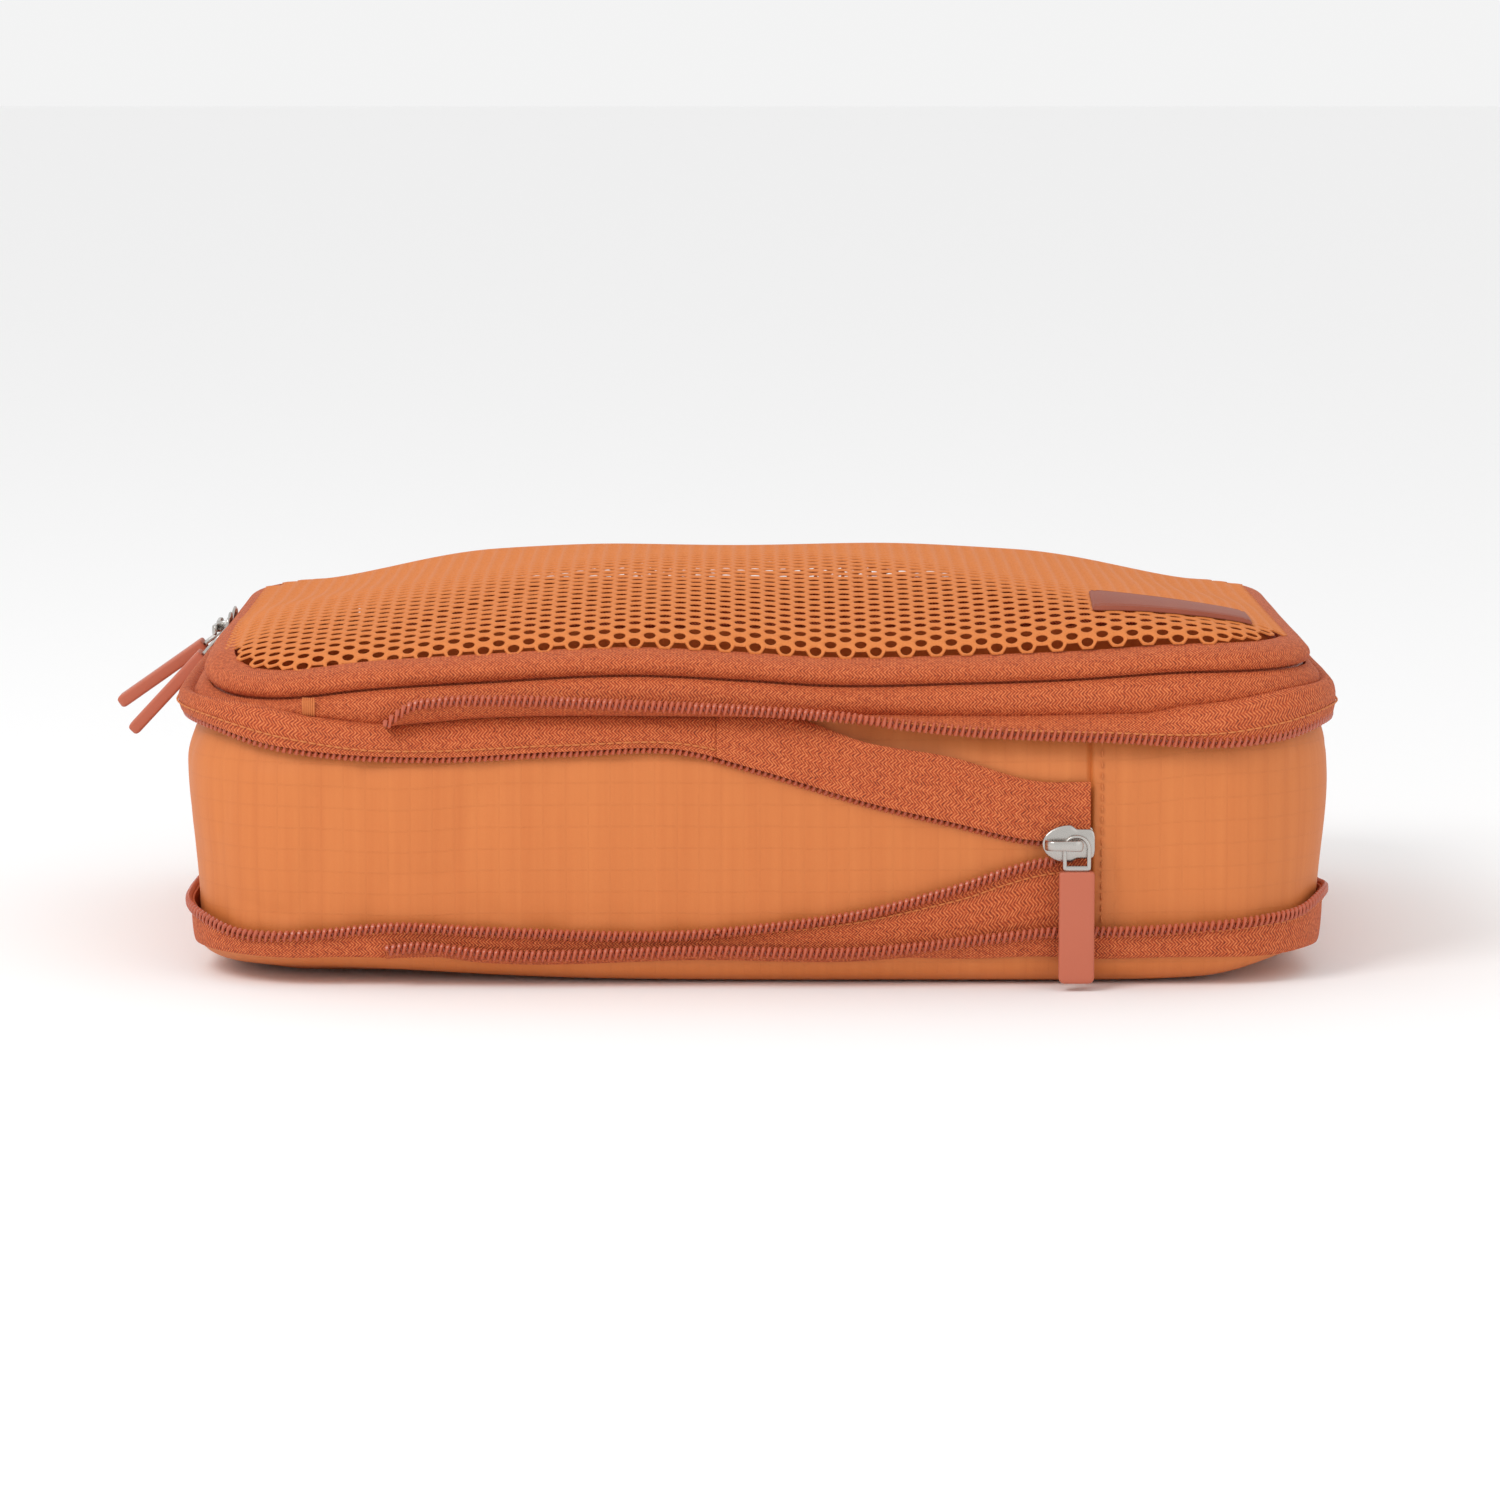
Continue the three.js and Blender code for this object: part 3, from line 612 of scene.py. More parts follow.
def gusset_wall():
    """Wall fabric: front(s, w) = the outline moved out by wall_out(s, w), from the seam to the crease."""
    s = np.concatenate([np.arange(0, 78, 1.6), np.arange(78, 90, 0.4), np.arange(90, PERIMETER, 1.6)])
    w = np.linspace(0, 1, 44)[None, :]
    low, high = seam_z(s[:, None]) - 0.6, crease_z(s[:, None]) - 0.3
    front = wrap_round(s[:, None] + 0 * w, wall_out(s[:, None], w), low + (high - low) * w)
    wall = strip("gusset_wall", front, s, FABRIC, RIPSTOP, closed=True)
    squash_with_wall(wall)
    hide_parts("gusset_wall_lower", "gusset_wall_middle", "gusset_wall_upper")


def squash_with_wall(piece):
    """Ride the base, with a mesh of its own."""
    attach(piece, "base")
    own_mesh(piece)


bottom_tray()
gusset_wall()


# ---- Compression zip: a lead to the slider, then a long spiral run round the case ----


def upper_tape_front(t, steps=12):
    """Front of the upper tape: a Bezier from the crease down, or up and over as a collar, to the coil."""
    s = ZIP_START_X - t
    crease, edge, collar = crease_z(s), curve(UPPER_COIL_KNOTS, t), flare(t)
    width = TAPE_WIDTH + 1.6 * np.exp(-(((t - 22) / 16) ** 2))
    top = np.where(t < 161, np.minimum(crease, edge + width), crease)
    loose = np.where(t < 161, smooth_step(70, 40, t), 0)
    second_run = smooth_step(840, 880, t)
    root_out = -3.6 * (1 - loose) + 1.4 * loose
    top = top + 0.5 * (1 - loose)
    edge_out = 2.1 + 1.0 * second_run
    wave = 0.35 * ripple(s, 0 * s, 34, 21)
    out, z = bezier(
        (root_out, top),
        (root_out + 3.6 * (1 - loose) + 1.2 * collar, top - 0.6 + 7.6 * collar),
        (edge_out + 0.2 + 1.5 * collar + wave, (top + 2 * edge) / 3 + 4 * collar),
        (edge_out + wave, edge - 0.4),
        steps,
    )
    return wrap_round(s[:, None], out, z), edge_out + wave, edge


def lower_tape_front(t, steps=10):
    """Front of the lower tape: a Bezier from the bottom seam, or its own free edge, up to the coil."""
    s = ZIP_START_X - t
    edge = curve(LOWER_COIL_KNOTS, t)
    bottom = np.maximum(seam_z(s) - 0.6, edge - LOWER_TAPE_WIDTH)
    bottom = np.minimum(bottom, edge - 2.2)
    second_run = smooth_step(840, 900, t)
    wave = 0.3 * ripple(s, 0 * s, 28, 22)
    edge_out = 2.1 + 1.0 * second_run
    root_out = 1.2 + 0.3 * second_run
    out, z = bezier(
        (root_out, bottom),
        (root_out + 0.6, bottom + 0.3),
        (edge_out + 0.3 + wave, (bottom + 2 * edge) / 3),
        (edge_out + wave, edge + 0.7),
        steps,
    )
    return wrap_round(s[:, None], out, z), edge_out + wave, edge


def zip_coil(name, start, end, height, out, head_turn):
    """A coil along the spiral between two lengths, at the given height and distance out."""
    t = np.arange(start, end, COIL_PITCH / TURN_POINTS)
    s = ZIP_START_X - t
    centre = wrap_round(s, out(t), height(t))
    normal = wrap_round(s, 1 + 0 * s, 0 * s) - wrap_round(s, 0 * s, 0 * s)
    up = np.array([0.0, 0.0, 1.0]) + 0 * normal
    return coil(name, centre, up, normal, t, COIL, head_turn(t) if callable(head_turn) else head_turn)


def tape_seam(name, tape_front, start, end):
    """Row of chain stitches that sews the coil to the tape, along the tape's face beside the coil."""
    t = np.arange(start + 1, end - 1, 2.1)
    face, _, _ = tape_front(t, SEAM_COLUMNS)
    centres = face[:, SEAM_COLUMNS - 3]
    lengths = 0.85 * np.gradient(centres, axis=0)
    normals = wrap_round(ZIP_START_X - t, 1 + 0 * t, 0 * t) - wrap_round(ZIP_START_X - t, 0 * t, 0 * t)
    return stitch_row(name, centres + 0.12 * normals, lengths, normals, 0.26)


def add_zip_half(place, tape_front, body, widths_counted, coil_offset, head_turn):
    """One half of the compression zip: lead and run of tape and coil, all riding on one body."""
    spans = {"lead": (ZIP_START_X - LEAD_START_X, LEAD_LENGTH), "run": (LEAD_LENGTH, ZIP_LENGTH)}
    for (part, (start, end)), counted in zip(spans.items(), widths_counted):
        t = np.linspace(start, end, round((end - start) / 1.8))
        tape = strip(f"tape_{place}_{part}", tape_front(t)[0], t, TAPE_CLOTH, TAPE)
        teeth = zip_coil(
            f"coil_{place}_{part}",
            max(start, -4),
            end,
            lambda t: tape_front(t, 4)[2] + coil_offset(t)[1],
            lambda t: tape_front(t, 4)[1] + coil_offset(t)[0],
            head_turn,
        )
        seam = tape_seam(f"seam_{place}_{part}", tape_front, start, end)
        for piece in (tape, teeth, seam):
            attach(piece, body)
            if part == "lead":
                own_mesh(piece)
        nodes = {"lead": ([f"{place}_lead_tape"], [f"{place}_lead_coil"])}
        nodes["run"] = ([f"{place}_zip_tape"], [f"{place}_zip_coil", f"{place}_return_coil"])
        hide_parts(*nodes[part][0])
        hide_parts(*nodes[part][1])


FLIP_START = 946
FLIP_END = 970


def upper_coil_offset(t):
    """(out, z) from the tape's edge to the coil: behind it at first, in front of it once it is flipped."""
    flipped = smooth_step(FLIP_START, FLIP_END, t)
    shown = smooth_step(800, 880, t)
    return -1.3 + 1.3 * shown + 1.0 * flipped, -0.5 + 0.3 * flipped


def upper_heads(t):
    """Turn of the coil's heads: pointing down, and up on the flipped stretch."""
    return math.pi * (1 - smooth_step(FLIP_START, FLIP_END, t))


def lower_coil_offset(t):
    """(out, z) from the tape's edge to the coil, which lies in front of the tape."""
    return 0.75 + 0 * t, 0.2 + 0 * t


add_zip_half(
    "upper", upper_tape_front, "rim",
    UPPER_COUNTED,
    upper_coil_offset, upper_heads,
)
add_zip_half(
    "lower", lower_tape_front, "base",
    LOWER_COUNTED,
    lower_coil_offset, 0.0,
)


# ---- Main zip: two tapes with their coils turned to the inside, open along the back ----

BACK_START = OUTLINE_STEPS[4]
BACK_END = OUTLINE_STEPS[5]
MAIN_RUN = np.arange(BACK_END, BACK_START + PERIMETER, 2.0)
DARK_LINE_OUT = -5.0
NET_EDGE_OUT = -10.5
NET_EDGE_RISE = 6.4


def main_lower_front(s):
    """Lower tape: a Bezier from the crease, bulging outwards, up to the zip's line."""
    crease, line = crease_z(s), main_zip_z(s)
    bulge = 0.3 * ripple(s, 0 * s, 45, 31)
    out, z = bezier(
        (-3.2 + 0 * s, crease - 0.4),
        (0.2 + bulge, crease + 1.8),
        (-1.2 + bulge, line - 1.2),
        (DARK_LINE_OUT + 0 * s, line - 0.3),
        12,
    )
    return wrap_round(s[:, None], out, z)


def main_upper_front(s):
    """Upper tape: a Bezier from the zip's line, round and inwards to the edge of the mesh."""
    line = main_zip_z(s)
    bulge = 0.3 * ripple(s, 0 * s, 50, 32)
    out, z = bezier(
        (DARK_LINE_OUT + 0 * s, line + 0.3),
        (-2.4 + bulge, line + 2.2),
        (-4.4 + bulge, line + 5.8),
        (NET_EDGE_OUT - 1 + 0 * s, line + NET_EDGE_RISE),
        12,
    )
    return wrap_round(s[:, None], out, z)


def add_main_zip():
    """Both halves of the main zip, each with its tape and its inner coil."""
    halves = [
        ("lower", "rim", main_lower_front, -1.0, 0.0, ["main_zip_tape_lower", "rim_seam_binding"]),
        ("upper", "lid", main_upper_front, 1.0, math.pi, ["main_zip_tape_upper", "lid_edge_binding"]),
    ]
    for place, body, front, side, head_turn, tape_nodes in halves:
        name = f"main_tape_{place}"
        tape = strip(name, front(MAIN_RUN), MAIN_RUN, TAPE_CLOTH, TAPE)
        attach(tape, body)
        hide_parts(*tape_nodes)
        s = np.arange(MAIN_RUN[0], MAIN_RUN[-1], COIL_PITCH / TURN_POINTS)
        centre = wrap_round(s, DARK_LINE_OUT - 1.6, main_zip_z(s) + 1.3 * side)
        normal = wrap_round(s, 1 + 0 * s, 0 * s) - wrap_round(s, 0 * s, 0 * s)
        up = np.array([0.0, 0.0, 1.0]) + 0 * normal
        teeth = coil(f"main_coil_{place}", centre, up, normal, s, COIL, head_turn)
        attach(teeth, body)
        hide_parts(f"main_zip_coil_{place}")


def back_hinge():
    """Strip of tape along the back that joins rim and lid: a Bezier from the crease to the mesh edge."""
    s = np.arange(BACK_START + 1, BACK_END - 1, 2.5)
    out, z = bezier(
        (-3.2 + 0 * s, crease_z(s) - 0.4),
        (-0.6 + 0 * s, MAIN_ZIP_Z - 3 + 0 * s),
        (-1.6 + 0 * s, MAIN_ZIP_Z + 5 + 0 * s),
        (NET_EDGE_OUT - 1 + 0 * s, MAIN_ZIP_Z + NET_EDGE_RISE + 0 * s),
        24,
    )
    hinge = strip("back_hinge", wrap_round(s[:, None], out, z), s, TAPE_CLOTH, TAPE)
    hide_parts("rim_hinge_strip", "lid_hinge_strip")
    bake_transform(hinge)


# ---- Mesh lid ----

NET_TOP_Z = 98.6
NET_POWER = 2.0
NET_STEP = 3.0
NET_STEP_LENGTH = 4.0
CELL_X = 7.5
CELL_Y = 4.0
HOLE_X = 1.5
HOLE_Y = 1.25
HOLE_POINTS = 12
YARN_RISE = 0.3
YARN_DROP = 0.18
SHOULDER_DROP = 0.6
REAR_CORNER_DROP = 3.4


def rounded_distance(x, y, inset):
    """Share of the way from the middle to the lid's rounded outline, 1 on the outline.

    (1 / q) solves the distance along the ray: q is the largest of |x| / X, |y| / Y and, in a corner,
    the root for the ray's meeting with the corner's circle.
    """
    half_x, half_y = HALF_LENGTH - inset, HALF_DEPTH - inset
    radius = CORNER_RADIUS - inset
    px, py = np.abs(x), np.abs(y)
    straight = np.maximum(np.maximum(px / half_x, py / half_y), 1e-9)
    along = px * CORE_X + py * CORE_Y
    squared = px * px + py * py
    rest = CORE_X**2 + CORE_Y**2 - radius**2
    root = squared / np.maximum(along + np.sqrt(np.maximum(along**2 - squared * rest, 0)), 1e-9)
    in_corner = (px / straight > CORE_X) & (py / straight > CORE_Y)
    return np.where(in_corner, root, straight)


def outline_length(x, y):
    """Length along the plan outline of the ray from the middle through (x, y), for the rim's ripples."""
    q = rounded_distance(x, y, 0)
    px, py = x / q, y / q
    angle = np.arctan2(py - np.clip(py, -CORE_Y, CORE_Y), px - np.clip(px, -CORE_X, CORE_X))
    heading = np.mod(angle + math.pi / 2, 2 * math.pi)
    corner = np.floor(heading / (math.pi / 2) + 0.5).astype(int) % 4
    middles = np.array([0, CORE_X + CORNER_ARC + CORE_Y, 0, 0], float)
    middles[2] = 2 * CORE_X + 2 * CORNER_ARC + 2 * CORE_Y
    middles[3] = PERIMETER - middles[1]
    shifts = np.stack([px, py, -px, -py])
    shift = np.take_along_axis(shifts, corner[None], 0)[0]
    turned = np.mod(heading - corner * math.pi / 2 + math.pi, 2 * math.pi) - math.pi
    flat = np.where(corner % 2 == 0, CORE_X, CORE_Y)
    return np.mod(middles[corner] + np.clip(shift, -flat, flat) + turned * CORNER_RADIUS, PERIMETER)


def lid_height(x, y):
    """Net's middle surface: edge + h (1 - e^(-d / l)) + rise (1 - k (x / X)^4) (1 - q^p) + soft lumps.

    q is the share of the way to the net's edge and d the distance from the edge, so the net climbs
    steeply from the tape and then flattens. Towards the two rear corners h falls by a smooth step.
    """
    q = np.clip(rounded_distance(x, y, -NET_EDGE_OUT), 1e-6, 1)
    edge = main_zip_z(outline_length(x, y)) + NET_EDGE_RISE
    lumps = 0.7 * ripple(x, y, 90, 41) * (1 - q**4)
    from_edge = (1 - q) * (HALF_DEPTH + NET_EDGE_OUT)
    rear_corner = smooth_step(70, 125, np.abs(x)) * smooth_step(-30, 40, y)
    step = (NET_STEP - REAR_CORNER_DROP * rear_corner) * (1 - np.exp(-from_edge / NET_STEP_LENGTH))
    edge_share = q**NET_POWER
    rise = (NET_TOP_Z - NET_STEP - edge) * (1 - SHOULDER_DROP * (x / HALF_LENGTH) ** 4)
    return edge + (rise + lumps) * (1 - edge_share) + step


def lid_net():
    """Knitted net: round holes on a brick lattice of 7.5 x 4 mm, with a raised yarn between them.

    Each cell is the rectangle between its neighbours' middles. A ring of points on the hole's ellipse
    and a ring on the cell's border give the upper face, lifted by r on the border; the lower face
    follows 0.7 mm under it.
    """
    inset = -NET_EDGE_OUT - 1.2
    columns = np.arange(-HALF_LENGTH, HALF_LENGTH, CELL_X / 2)
    half = np.array([CELL_X / 4, CELL_Y / 2])
    rows = np.arange(-HALF_DEPTH, HALF_DEPTH, CELL_Y)
    cx, cy = np.meshgrid(columns, rows, indexing="ij")
    cy = cy + np.where(np.arange(len(columns)) % 2 == 0, 0, CELL_Y / 2)[:, None]
    cx, cy = cx.ravel(), cy.ravel()
    reach = rounded_distance(np.abs(cx) + half[0], np.abs(cy) + half[1], inset)
    cx, cy = cx[reach < 1], cy[reach < 1]
    hexagon = np.array([(-2.45, 0), (-1.3, 2), (1.3, 2), (2.45, 0), (1.3, -2), (-1.3, -2)])
    border = np.repeat(hexagon, 2, axis=0)
    border[1::2] = (hexagon + np.roll(hexagon, -1, axis=0)) / 2
    angles = np.arctan2(border[:, 1], border[:, 0])
    hole = np.stack([HOLE_X * np.cos(angles), HOLE_Y * np.sin(angles)], -1)
    middle = hole * 0.45 + border * 0.55
    centres = np.stack([cx, cy], -1)[:, None]
    levels = [
        (hole, 0.0),
        (middle, YARN_RISE),
        (border, YARN_RISE * 0.8),
        (border, -YARN_DROP),
        (hole, -YARN_DROP),
    ]
    plan = np.concatenate([centres + ring for ring, _ in levels], axis=1)
    heights = np.repeat([rise for _, rise in levels], HOLE_POINTS)
    z = lid_height(plan[..., 0], plan[..., 1]) + heights
    points = np.concatenate([plan, z[..., None]], -1).reshape(-1, 3)
    rings = np.arange(len(points)).reshape(len(cx), len(levels), HOLE_POINTS)
    rings = np.concatenate([rings, rings[:, :, :1]], 2)
    quads = []
    for first, second in ((0, 1), (1, 2), (3, 4), (4, 0)):
        a, b = rings[:, first], rings[:, second]
        quads.append(np.stack([a[:, :-1], b[:, :-1], b[:, 1:], a[:, 1:]], -1).reshape(-1, 4))
    walls = np.stack([rings[:, 2, :-1], rings[:, 3, :-1], rings[:, 3, 1:], rings[:, 2, 1:]], -1)
    keys = np.round(points * 200).astype(np.int64)
    _, first_seen, merged = np.unique(keys, axis=0, return_index=True, return_inverse=True)
    merged = merged.ravel()
    walls = merged[walls.reshape(-1, 4)]
    edges = np.sort(walls[:, [0, 3]], axis=1)
    _, edge_index, shared = np.unique(edges, axis=0, return_index=True, return_counts=True)
    faces = np.concatenate([merged[np.concatenate(quads)], walls[edge_index[shared == 1]]])
    net = new_piece("lid_net", points[first_seen], [faces], NET)
    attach(net, "lid")
    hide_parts("lid_mesh_panel")


add_main_zip()
back_hinge()
lid_net()


# ---- Label, stitches and hardware ----

LABEL_CENTRE = (104.0, -66.0)
LABEL_SIZE = (40.0, 17.0)


def leather_label():
    """Leather label lying on the net: z = net height + c + bow, with edges rounded by an ellipse.

    A point at share (u, v) of the plan rises t sqrt(1 - max(|u|, |v|)^e) above the label's underside.
    """
    u = np.linspace(-1, 1, 61)[:, None]
    v = np.linspace(-1, 1, 33)[None, :]
    x = LABEL_CENTRE[0] + LABEL_SIZE[0] / 2 * u + 0 * v
    y = LABEL_CENTRE[1] + LABEL_SIZE[1] / 2 * v + 0 * u
    base = lid_height(x, y) + YARN_RISE + 0.15
    edge = np.maximum(np.abs(u), np.abs(v))
    end_stitches = np.exp(-(((np.abs(u) - 0.93) / 0.02) ** 2))
    side_stitches = np.exp(-(((np.abs(v) - 0.86) / 0.04) ** 2))
    stitched = 0.25 * (end_stitches + side_stitches)
    top = base + 0.35 + 0.75 * np.sqrt(1 - np.clip(edge, 0, 1) ** 24) - stitched
    upper = np.stack([x, y, top], -1)
    lower = np.stack([x, y, base], -1)
    rings = np.concatenate([upper, lower[:, ::-1]], axis=1)
    label = tube("leather_patch", rings, x[:, 0], LEATHER)
    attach(label, "lid")
    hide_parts("leather_label")


def wall_topstitch():
    """Upright row of stitches on the wall beside its seam at the front right."""
    w = np.arange(0.16, 0.9, 0.046)
    s = LEAD_START_X + 2.9 + 0 * w
    z = SEAM_Z - 0.6 + (crease_z(s) - SEAM_Z + 0.3) * w
    centres = wrap_round(s, wall_out(s, w) + 0.28, z)
    lengths = np.array([[0, 0, 1.9]]) + 0 * centres
    normals = np.array([[0, -1.0, 0]]) + 0 * centres
    row = stitch_row("wall_topstitch", centres, lengths, normals, 0.24)
    squash_with_wall(row)


def bar_tack():
    """Dense bar of upright stitches that ends a seam on the rim's tape at the front left."""
    s = PERIMETER - 109.5 - np.linspace(0, 2.6, 6)
    centres = wrap_round(s, -0.9 + 0 * s, crease_z(s) + 3.4)
    lengths = np.array([[0, -0.6, 4.6]]) + 0 * centres
    normals = wrap_round(s, 1 + 0 * s, 0 * s) - wrap_round(s, 0 * s, 0 * s)
    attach(stitch_row("rim_bar_tack", centres, lengths, normals, 0.34), "rim")


def dress_nodes():
    """Finish and softened edges for the CAD nodes that stay shown: the zip's end stops."""
    for name in ("zip_stop_left", "zip_stop_right"):
        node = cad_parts[name]
        node.data.materials.clear()
        node.data.materials.append(METAL)
        weld = node.modifiers.new("weld", "WELD")
        weld.merge_threshold = 0.01 * MM
        bevel = node.modifiers.new("bevel", "BEVEL")
        bevel.width = 0.25 * MM
        bevel.segments = 3


# ---- Sliders and pulls ----
# A slider lies along x with its nose at -x, its coil in the plane y = 0 and its face to -y.

SLIDER_NOSE = 6.2
SLIDER_TAIL = 6.7
SLIDER_WIDEST = 4.7
SLIDER_SHOULDER = 3.7
PLATE_HALF_GAP = 1.6
OUTER_PLATE = 1.1
INNER_PLATE = 0.8
BAR_AXIS_Y = -6.4
LOOP_SHIFT = 2.25
LOOP_RADIUS = 3.0
LOOP_ARC_Z = -1.05
LOOP_SILL_Z = -6.0
LOOP_BEHIND_BAR = 2.2
GRIP_TOP_Z = -6.6
GRIP_END_Z = -34.5
FRONT_PULL_SWING = 43.0
REAR_PULL_SWING = 55.0


def rounded_profile(half_width, half_height, power, steps=24):
    """Superellipse x = a sgn(cos f)|cos f|^e, y = b sgn(sin f)|sin f|^e as arrays over stations."""
    f = np.linspace(0, 2 * math.pi, steps, endpoint=False)[None, :]
    x = np.atleast_1d(half_width)[:, None] * np.sign(np.cos(f)) * np.abs(np.cos(f)) ** power
    y = np.atleast_1d(half_height)[:, None] * np.sign(np.sin(f)) * np.abs(np.sin(f)) ** power
    return x, y


def slider_plate(y_middle, half_thickness):
    """Spoon-shaped plate: half height h(x) = W sqrt(1 - ((x - 0.6) / L)^2) at the nose, then a shoulder."""
    a = np.linspace(0, math.pi, 48)
    x = (SLIDER_TAIL - SLIDER_NOSE) / 2 - (SLIDER_TAIL + SLIDER_NOSE) / 2 * np.cos(a)
    nose = SLIDER_WIDEST * np.sqrt(np.clip(1 - ((x - 0.6) / (SLIDER_NOSE + 0.6)) ** 2, 0.004, 1))
    tail = SLIDER_SHOULDER * np.clip(1 - ((x - 2) / (SLIDER_TAIL - 1.98)) ** 12, 0.02, 1) ** 0.3
    share = smooth_step(0.6, 2.6, x)
    half = nose * (1 - share) + tail * share
    thin = half_thickness * np.clip(half / 2.2, 0.15, 1)
    z, y = rounded_profile(half, thin, 0.55)
    crown = 0.35 * (1 - (z / SLIDER_WIDEST) ** 2) * np.sign(y_middle)
    return np.stack([x[:, None] + 0 * z, y_middle + y + crown, z], -1)


def slider_bridge():
    """Strap from the nose, up and over to a free end: superellipses along a curve in x and y."""
    w = np.linspace(0, 1, 40)
    face = -PLATE_HALF_GAP - OUTER_PLATE
    x = curve([(0, -5.0), (0.2, -5.1), (0.4, -3.9), (0.65, -0.6), (0.9, 2.6), (1, 3.6)], w)
    reach = [(0, 0), (0.2, 0.6), (0.4, 0.95), (0.65, 1), (0.9, 0.98), (1, 0.85)]
    y = face + 0.4 + (BAR_AXIS_Y - face - 0.4) * curve(reach, w)
    along = np.stack([np.gradient(x), np.gradient(y)], -1)
    along /= np.linalg.norm(along, axis=1, keepdims=True)
    ends = np.clip(1 - (2 * w - 1) ** 20, 0.2, 1) ** 0.4
    z, across = rounded_profile((1.45 - 0.25 * np.sin(np.pi * w)) * ends, 0.55 * ends, 0.6)
    return np.stack([x[:, None] - along[:, 1:] * across, y[:, None] + along[:, :1] * across, z], -1)


def pull_ring():
    """D-shaped wire: a half circle over two straight legs and a sill, with a rounded square section."""
    a = np.linspace(0, math.pi, 24)
    corner = np.linspace(0, math.pi / 2, 7)[1:-1]
    r = 0.7
    arc = np.stack([LOOP_RADIUS * np.cos(a), LOOP_ARC_Z + LOOP_RADIUS * np.sin(a)], -1)
    left = np.stack([-LOOP_RADIUS + r - r * np.cos(corner), LOOP_SILL_Z + r - r * np.sin(corner)], -1)
    right = np.stack([LOOP_RADIUS - r + r * np.sin(corner), LOOP_SILL_Z + r - r * np.cos(corner)], -1)
    path = np.concatenate([arc, left, right])
    ahead = np.roll(path, -1, axis=0) - np.roll(path, 1, axis=0)
    ahead /= np.linalg.norm(ahead, axis=1, keepdims=True)
    low = smooth_step(LOOP_SILL_Z + 0.6, LOOP_SILL_Z, path[:, 1])
    across, depth = rounded_profile(0.5 + 0.3 * low, 0.5 + 0 * low, 0.6, 16)
    x = path[:, :1] + ahead[:, 1:] * across
    z = path[:, 1:] - ahead[:, :1] * across
    return np.stack([x, LOOP_BEHIND_BAR + depth, z], -1)


def pull_grip():
    """Moulded grip: rounded rectangles down z whose size shrinks by r (1 - sin a) at both ends."""
    a = np.linspace(0.12, math.pi / 2, 8)
    top_round, end_round = 0.7, 1.5
    upper_z = GRIP_TOP_Z - top_round * (1 - np.cos(a))
    lower_z = GRIP_END_Z + end_round * (1 - np.cos(a[::-1]))
    z = np.concatenate([upper_z, lower_z])
    inset = np.concatenate([top_round * (1 - np.sin(a)), end_round * (1 - np.sin(a[::-1]))])
    x, y = rounded_profile(4.4 - inset, 1.7 - 0.6 * inset, 0.3, 48)
    return np.stack([x, LOOP_BEHIND_BAR + y, z[:, None] + 0 * x], -1)


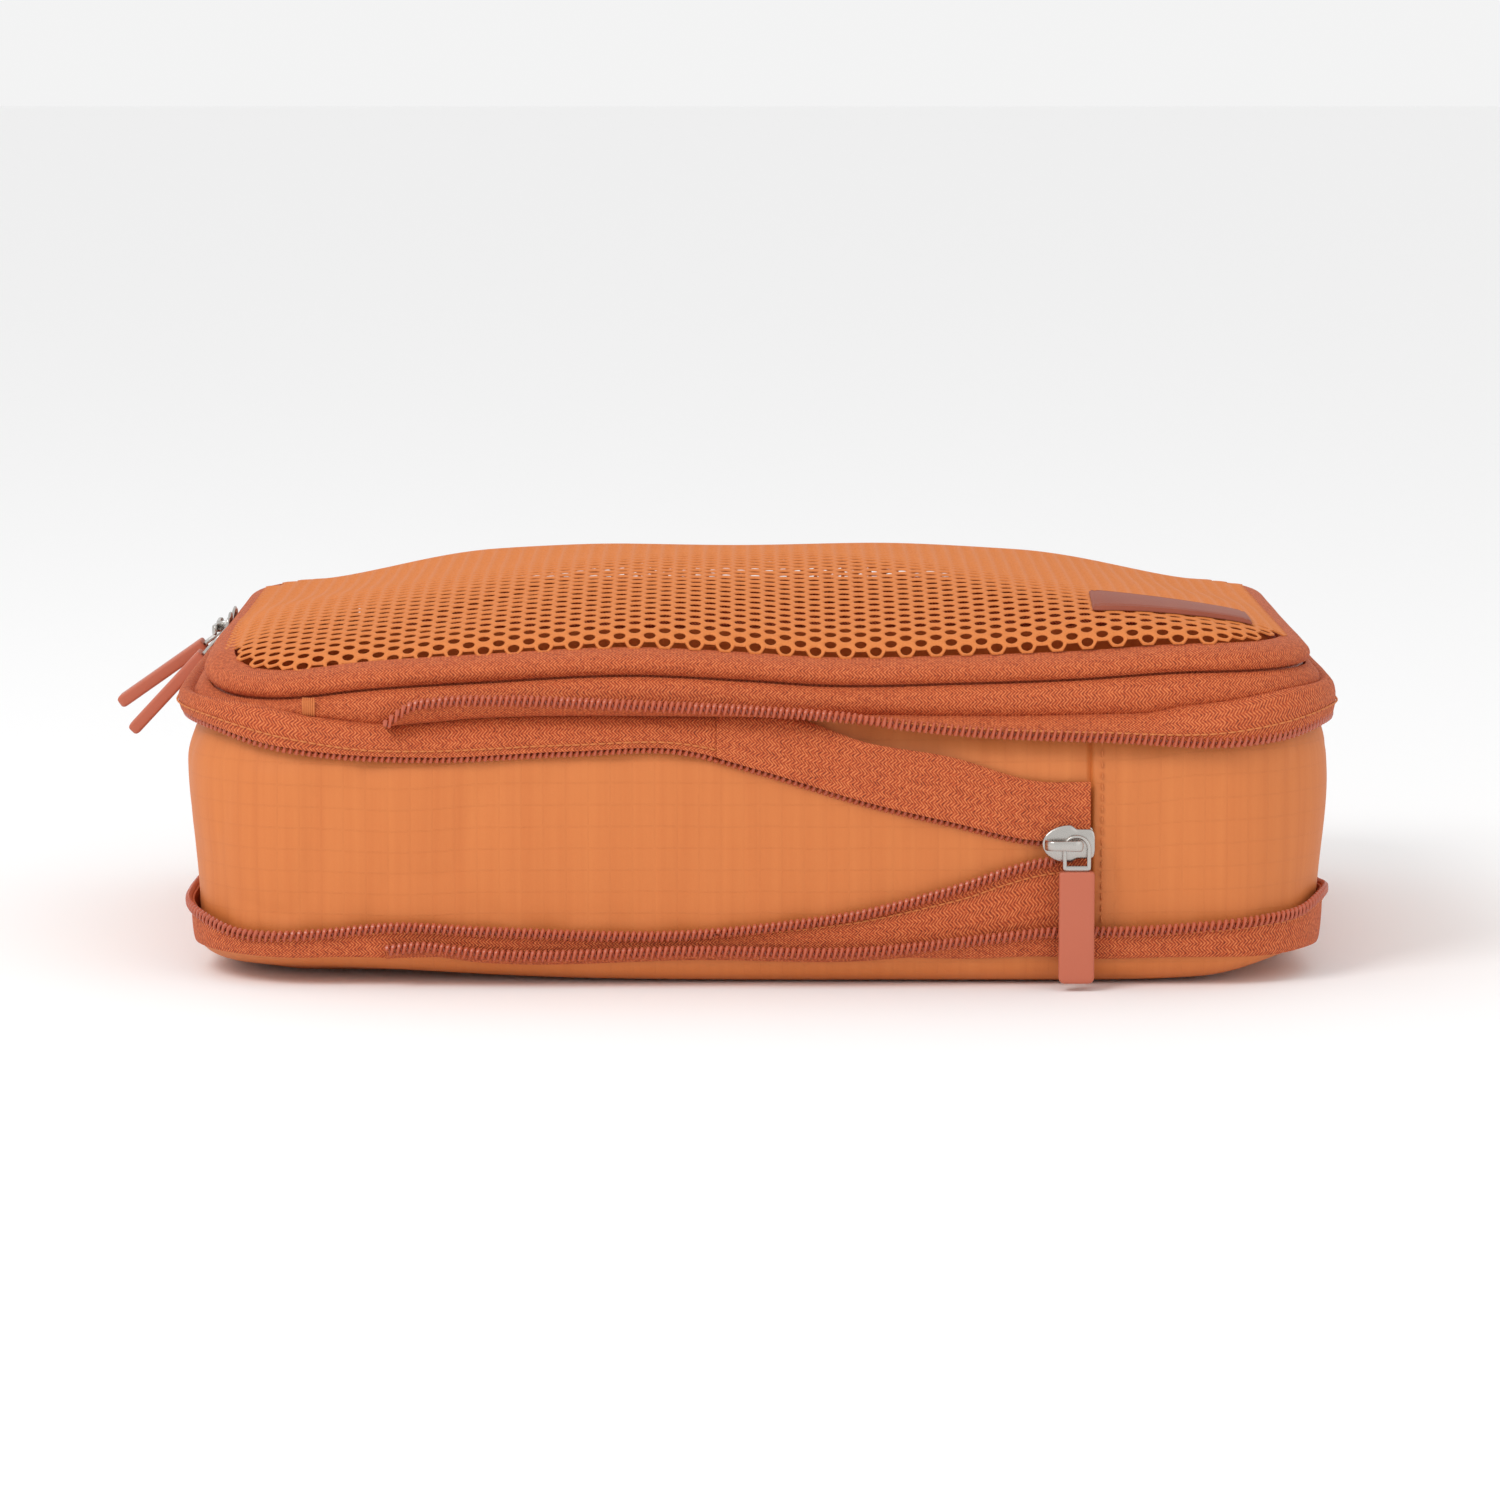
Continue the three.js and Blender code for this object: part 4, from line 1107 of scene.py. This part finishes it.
def add_slider(name, place, faces_left, flip, swing):
    """One slider: plates and bridge on its own body, ring and grip on the pull's body.

    The pull turns by R_x(-swing) about the bridge, the body by half a turn about y where its nose
    points the other way, and both by a quarter turn about z where the slider faces left.
    """
    shift = -LOOP_SHIFT if flip else LOOP_SHIFT
    cos, sin = math.cos(math.radians(swing)), math.sin(math.radians(swing))

    def to_place(points):
        if faces_left:
            points = np.stack([points[..., 1], -points[..., 0], points[..., 2]], -1)
        return points + place

    def swung(points):
        x, y, z = np.moveaxis(points, -1, 0)
        return np.stack([x + shift, BAR_AXIS_Y + y * cos + z * sin, z * cos - y * sin], -1)

    side = -1 if flip else 1
    outer_y = -PLATE_HALF_GAP - OUTER_PLATE / 2
    inner_y = PLATE_HALF_GAP + INNER_PLATE / 2
    body_parts = {
        "face_plate": slider_plate(outer_y, OUTER_PLATE / 2),
        "back_plate": slider_plate(inner_y, INNER_PLATE / 2),
        "bridge": slider_bridge(),
    }
    for part, rings in body_parts.items():
        rings = to_place(rings * (side, 1, side))
        piece = tube(f"{name}_{part}", rings, np.arange(len(rings)) * 0.3, METAL)
        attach(piece, f"{name}_slider")
        if part == "face_plate":
            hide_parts(f"{name}_slider_body")
    ring_path = to_place(swung(pull_ring()))
    ring = tube(f"{name}_ring", ring_path, np.arange(len(ring_path)) * 0.4, METAL, closed=True)
    grip_rings = to_place(swung(pull_grip()))
    grip = tube(f"{name}_grip", grip_rings, np.arange(float(len(grip_rings))), GRIP)
    for piece, node in ((ring, "pull_loop"), (grip, "pull_grip")):
        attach(piece, f"{name}_pull")
        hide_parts(f"{name}_{node}")


def add_sliders():
    """The compression slider at the front and the two main sliders on the left side."""
    behind = PLATE_HALF_GAP + INNER_PLATE
    low, high = (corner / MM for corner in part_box("compression_slider_body"))
    place = (low.x + SLIDER_NOSE, high.y - behind, (low.z + high.z) / 2)
    add_slider("compression", place, False, False, 0.0)
    low, high = (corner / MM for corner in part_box("main_front_slider_body"))
    place = (high.x - behind, high.y - SLIDER_NOSE, (low.z + high.z) / 2)
    add_slider("main_front", place, True, False, FRONT_PULL_SWING)
    low, high = (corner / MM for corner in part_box("main_rear_slider_body"))
    place = (high.x - behind, low.y + SLIDER_NOSE, (low.z + high.z) / 2)
    add_slider("main_rear", place, True, True, REAR_PULL_SWING)


add_sliders()
leather_label()
wall_topstitch()
bar_tack()
dress_nodes()


# ---- Floor, light and the end ----


def add_stage():
    """Pale floor, white surroundings and two soft lights."""
    material, _, _ = new_material("studio_floor", Base_Color=srgb("FAFAFA"), Roughness=0.9)
    bpy.ops.mesh.primitive_plane_add(size=60, location=(0, 0, -0.0005))
    floor = bpy.context.object
    floor.name = "floor"
    floor.data.materials.append(material)
    world = bpy.data.worlds.new("studio")
    bpy.context.scene.world = world
    world.use_nodes = True
    world.node_tree.nodes["Background"].inputs[0].default_value = (1, 1, 1, 1)
    world.node_tree.nodes["Background"].inputs[1].default_value = 0.9
    add_area_light("key", (-0.75, -0.9, 1.1), 0.6, 8)
    add_area_light("fill", (0.9, -1.3, 0.5), 1.0, 1.5)


add_stage()
